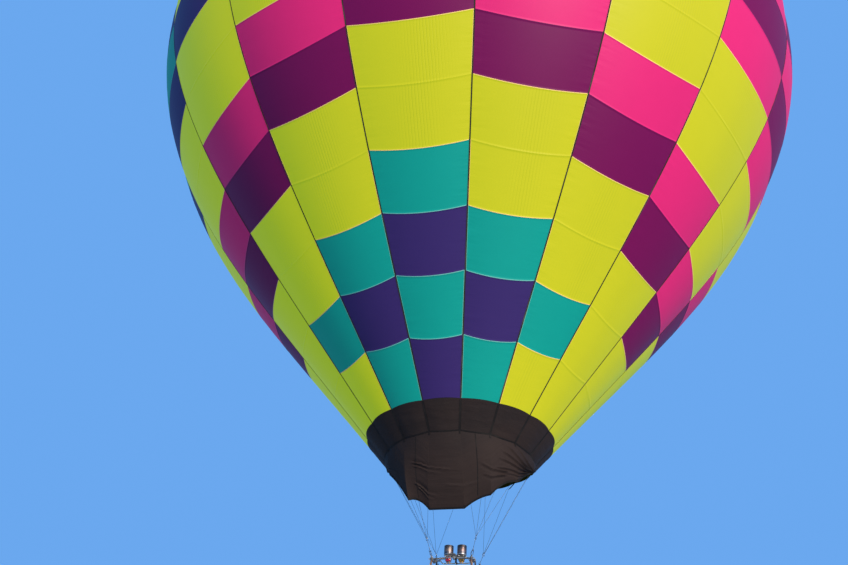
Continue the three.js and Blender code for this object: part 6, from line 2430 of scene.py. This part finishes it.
@dataclass
class Studio:
    """The photographer's camera, a pale floor at its feet, and soft light."""

    place: tuple[float, float, float] = (4.618, -22.01, -23.133)
    lens: float = 43.17
    turned: float = math.radians(-11.85)
    heading: float = math.radians(-2.94)
    tilt: float = math.radians(35.27)
    roll: float = math.radians(4.10)
    floor_half: float = 60.0

    def make_camera(self) -> None:
        """Makes the camera, which looks up at the balloon from the ground."""
        yaw = self.turned + self.heading
        forward = Vector((math.sin(yaw) * math.cos(self.tilt), math.cos(yaw) * math.cos(self.tilt),
                          math.sin(self.tilt)))
        level = Vector((math.cos(yaw), -math.sin(yaw), 0.0))
        above = level.cross(forward)
        right = math.cos(self.roll) * level + math.sin(self.roll) * above
        up = -math.sin(self.roll) * level + math.cos(self.roll) * above
        data = bpy.data.cameras.new("camera")
        data.lens = self.lens
        data.clip_end = 500.0
        camera = bpy.data.objects.new("camera", data)
        rows = [(right[i], up[i], -forward[i], self.place[i]) for i in range(3)]
        camera.matrix_world = Matrix((*rows, (0.0, 0.0, 0.0, 1.0)))
        bpy.context.scene.collection.objects.link(camera)
        bpy.context.scene.camera = camera

    def make_floor(self) -> None:
        """Makes the pale floor at the camera's height."""
        bpy.ops.mesh.primitive_plane_add(size=2.0 * self.floor_half, location=(0.0, 0.0, self.place[2]))
        floor = bpy.context.object
        floor.name = "studio_floor"
        plain = bpy.data.materials.new("studio_floor")
        plain.use_nodes = True
        plain.node_tree.nodes["Principled BSDF"].inputs["Base Color"].default_value = linear(204, 204, 202)
        plain.node_tree.nodes["Principled BSDF"].inputs["Roughness"].default_value = 0.9
        floor.data.materials.append(plain)

    def add_light(self, name: str, azimuth: float, height: float, distance: float, size: float, power: float,
                  colour: tuple[float, float, float]) -> None:
        """Adds a soft area light that faces the envelope."""
        angle = math.radians(azimuth)
        place = Vector((distance * math.sin(angle), -distance * math.cos(angle), height))
        data = bpy.data.lights.new(name, "AREA")
        data.shape = "DISK"
        data.size = size
        data.energy = power
        data.color = colour
        light = bpy.data.objects.new(name, data)
        light.location = place
        light.rotation_euler = (Vector((0.0, 0.0, -3.0)) - place).to_track_quat("-Z", "Y").to_euler()
        bpy.context.scene.collection.objects.link(light)

    def add_sun(self, azimuth: float, elevation: float, softness: float, strength: float,
                colour: tuple[float, float, float]) -> None:
        """Adds the main light, which comes in low and even, with soft shadows."""
        data = bpy.data.lights.new("key", "SUN")
        data.energy = strength
        data.angle = math.radians(softness)
        data.color = colour
        light = bpy.data.objects.new("key", data)
        turn, rise = math.radians(azimuth), math.radians(elevation)
        away = Vector((math.sin(turn) * math.cos(rise), -math.cos(turn) * math.cos(rise), math.sin(rise)))
        light.location = away * 40.0
        light.rotation_euler = (-away).to_track_quat("-Z", "Y").to_euler()
        bpy.context.scene.collection.objects.link(light)

    def make(self) -> None:
        """Makes the camera, the floor, the lights and the pale surround."""
        self.make_camera()
        self.make_floor()
        self.add_sun(38.0, 9.0, 16.0, 6.7, (1.0, 0.92, 0.80))
        self.add_light("fill", -40.0, -12.0, 40.0, 24.0, 500.0, (0.86, 0.93, 1.0))
        self.add_light("back", 190.0, 12.0, 42.0, 20.0, 9000.0, (1.0, 0.96, 0.9))
        world = bpy.data.worlds.new("surround")
        world.use_nodes = True
        world.node_tree.nodes["Background"].inputs["Color"].default_value = linear(112, 176, 250)
        world.node_tree.nodes["Background"].inputs["Strength"].default_value = 0.9
        bpy.context.scene.world = world
        bpy.context.scene.view_settings.view_transform = "Standard"


def main() -> None:
    """Builds every part of the balloon and the studio round it."""
    logging.basicConfig(level=logging.INFO, format="%(message)s")
    Studio().make()
    envelope = Envelope(SHELL)
    for gore in range(SHELL.gores):
        envelope.make_gore(gore)
    mouth = Mouth(SHELL)
    mouth.make()
    tapes = join("load_tapes_sewn", [envelope.make_tapes(), mouth.make_mouth_tape()])
    place_piece(tapes, "balloon", "tape_webbing", "load_tapes")
    Crown(SHELL).make()
    rigging = Rigging(SHELL)
    rigging.make()
    BurnerFrame(rigging).make()
    Gimbal().make()
    Burner().make()
    Basket().make()
    FuelCylinders().make()


if __name__ == "__main__":
    main()
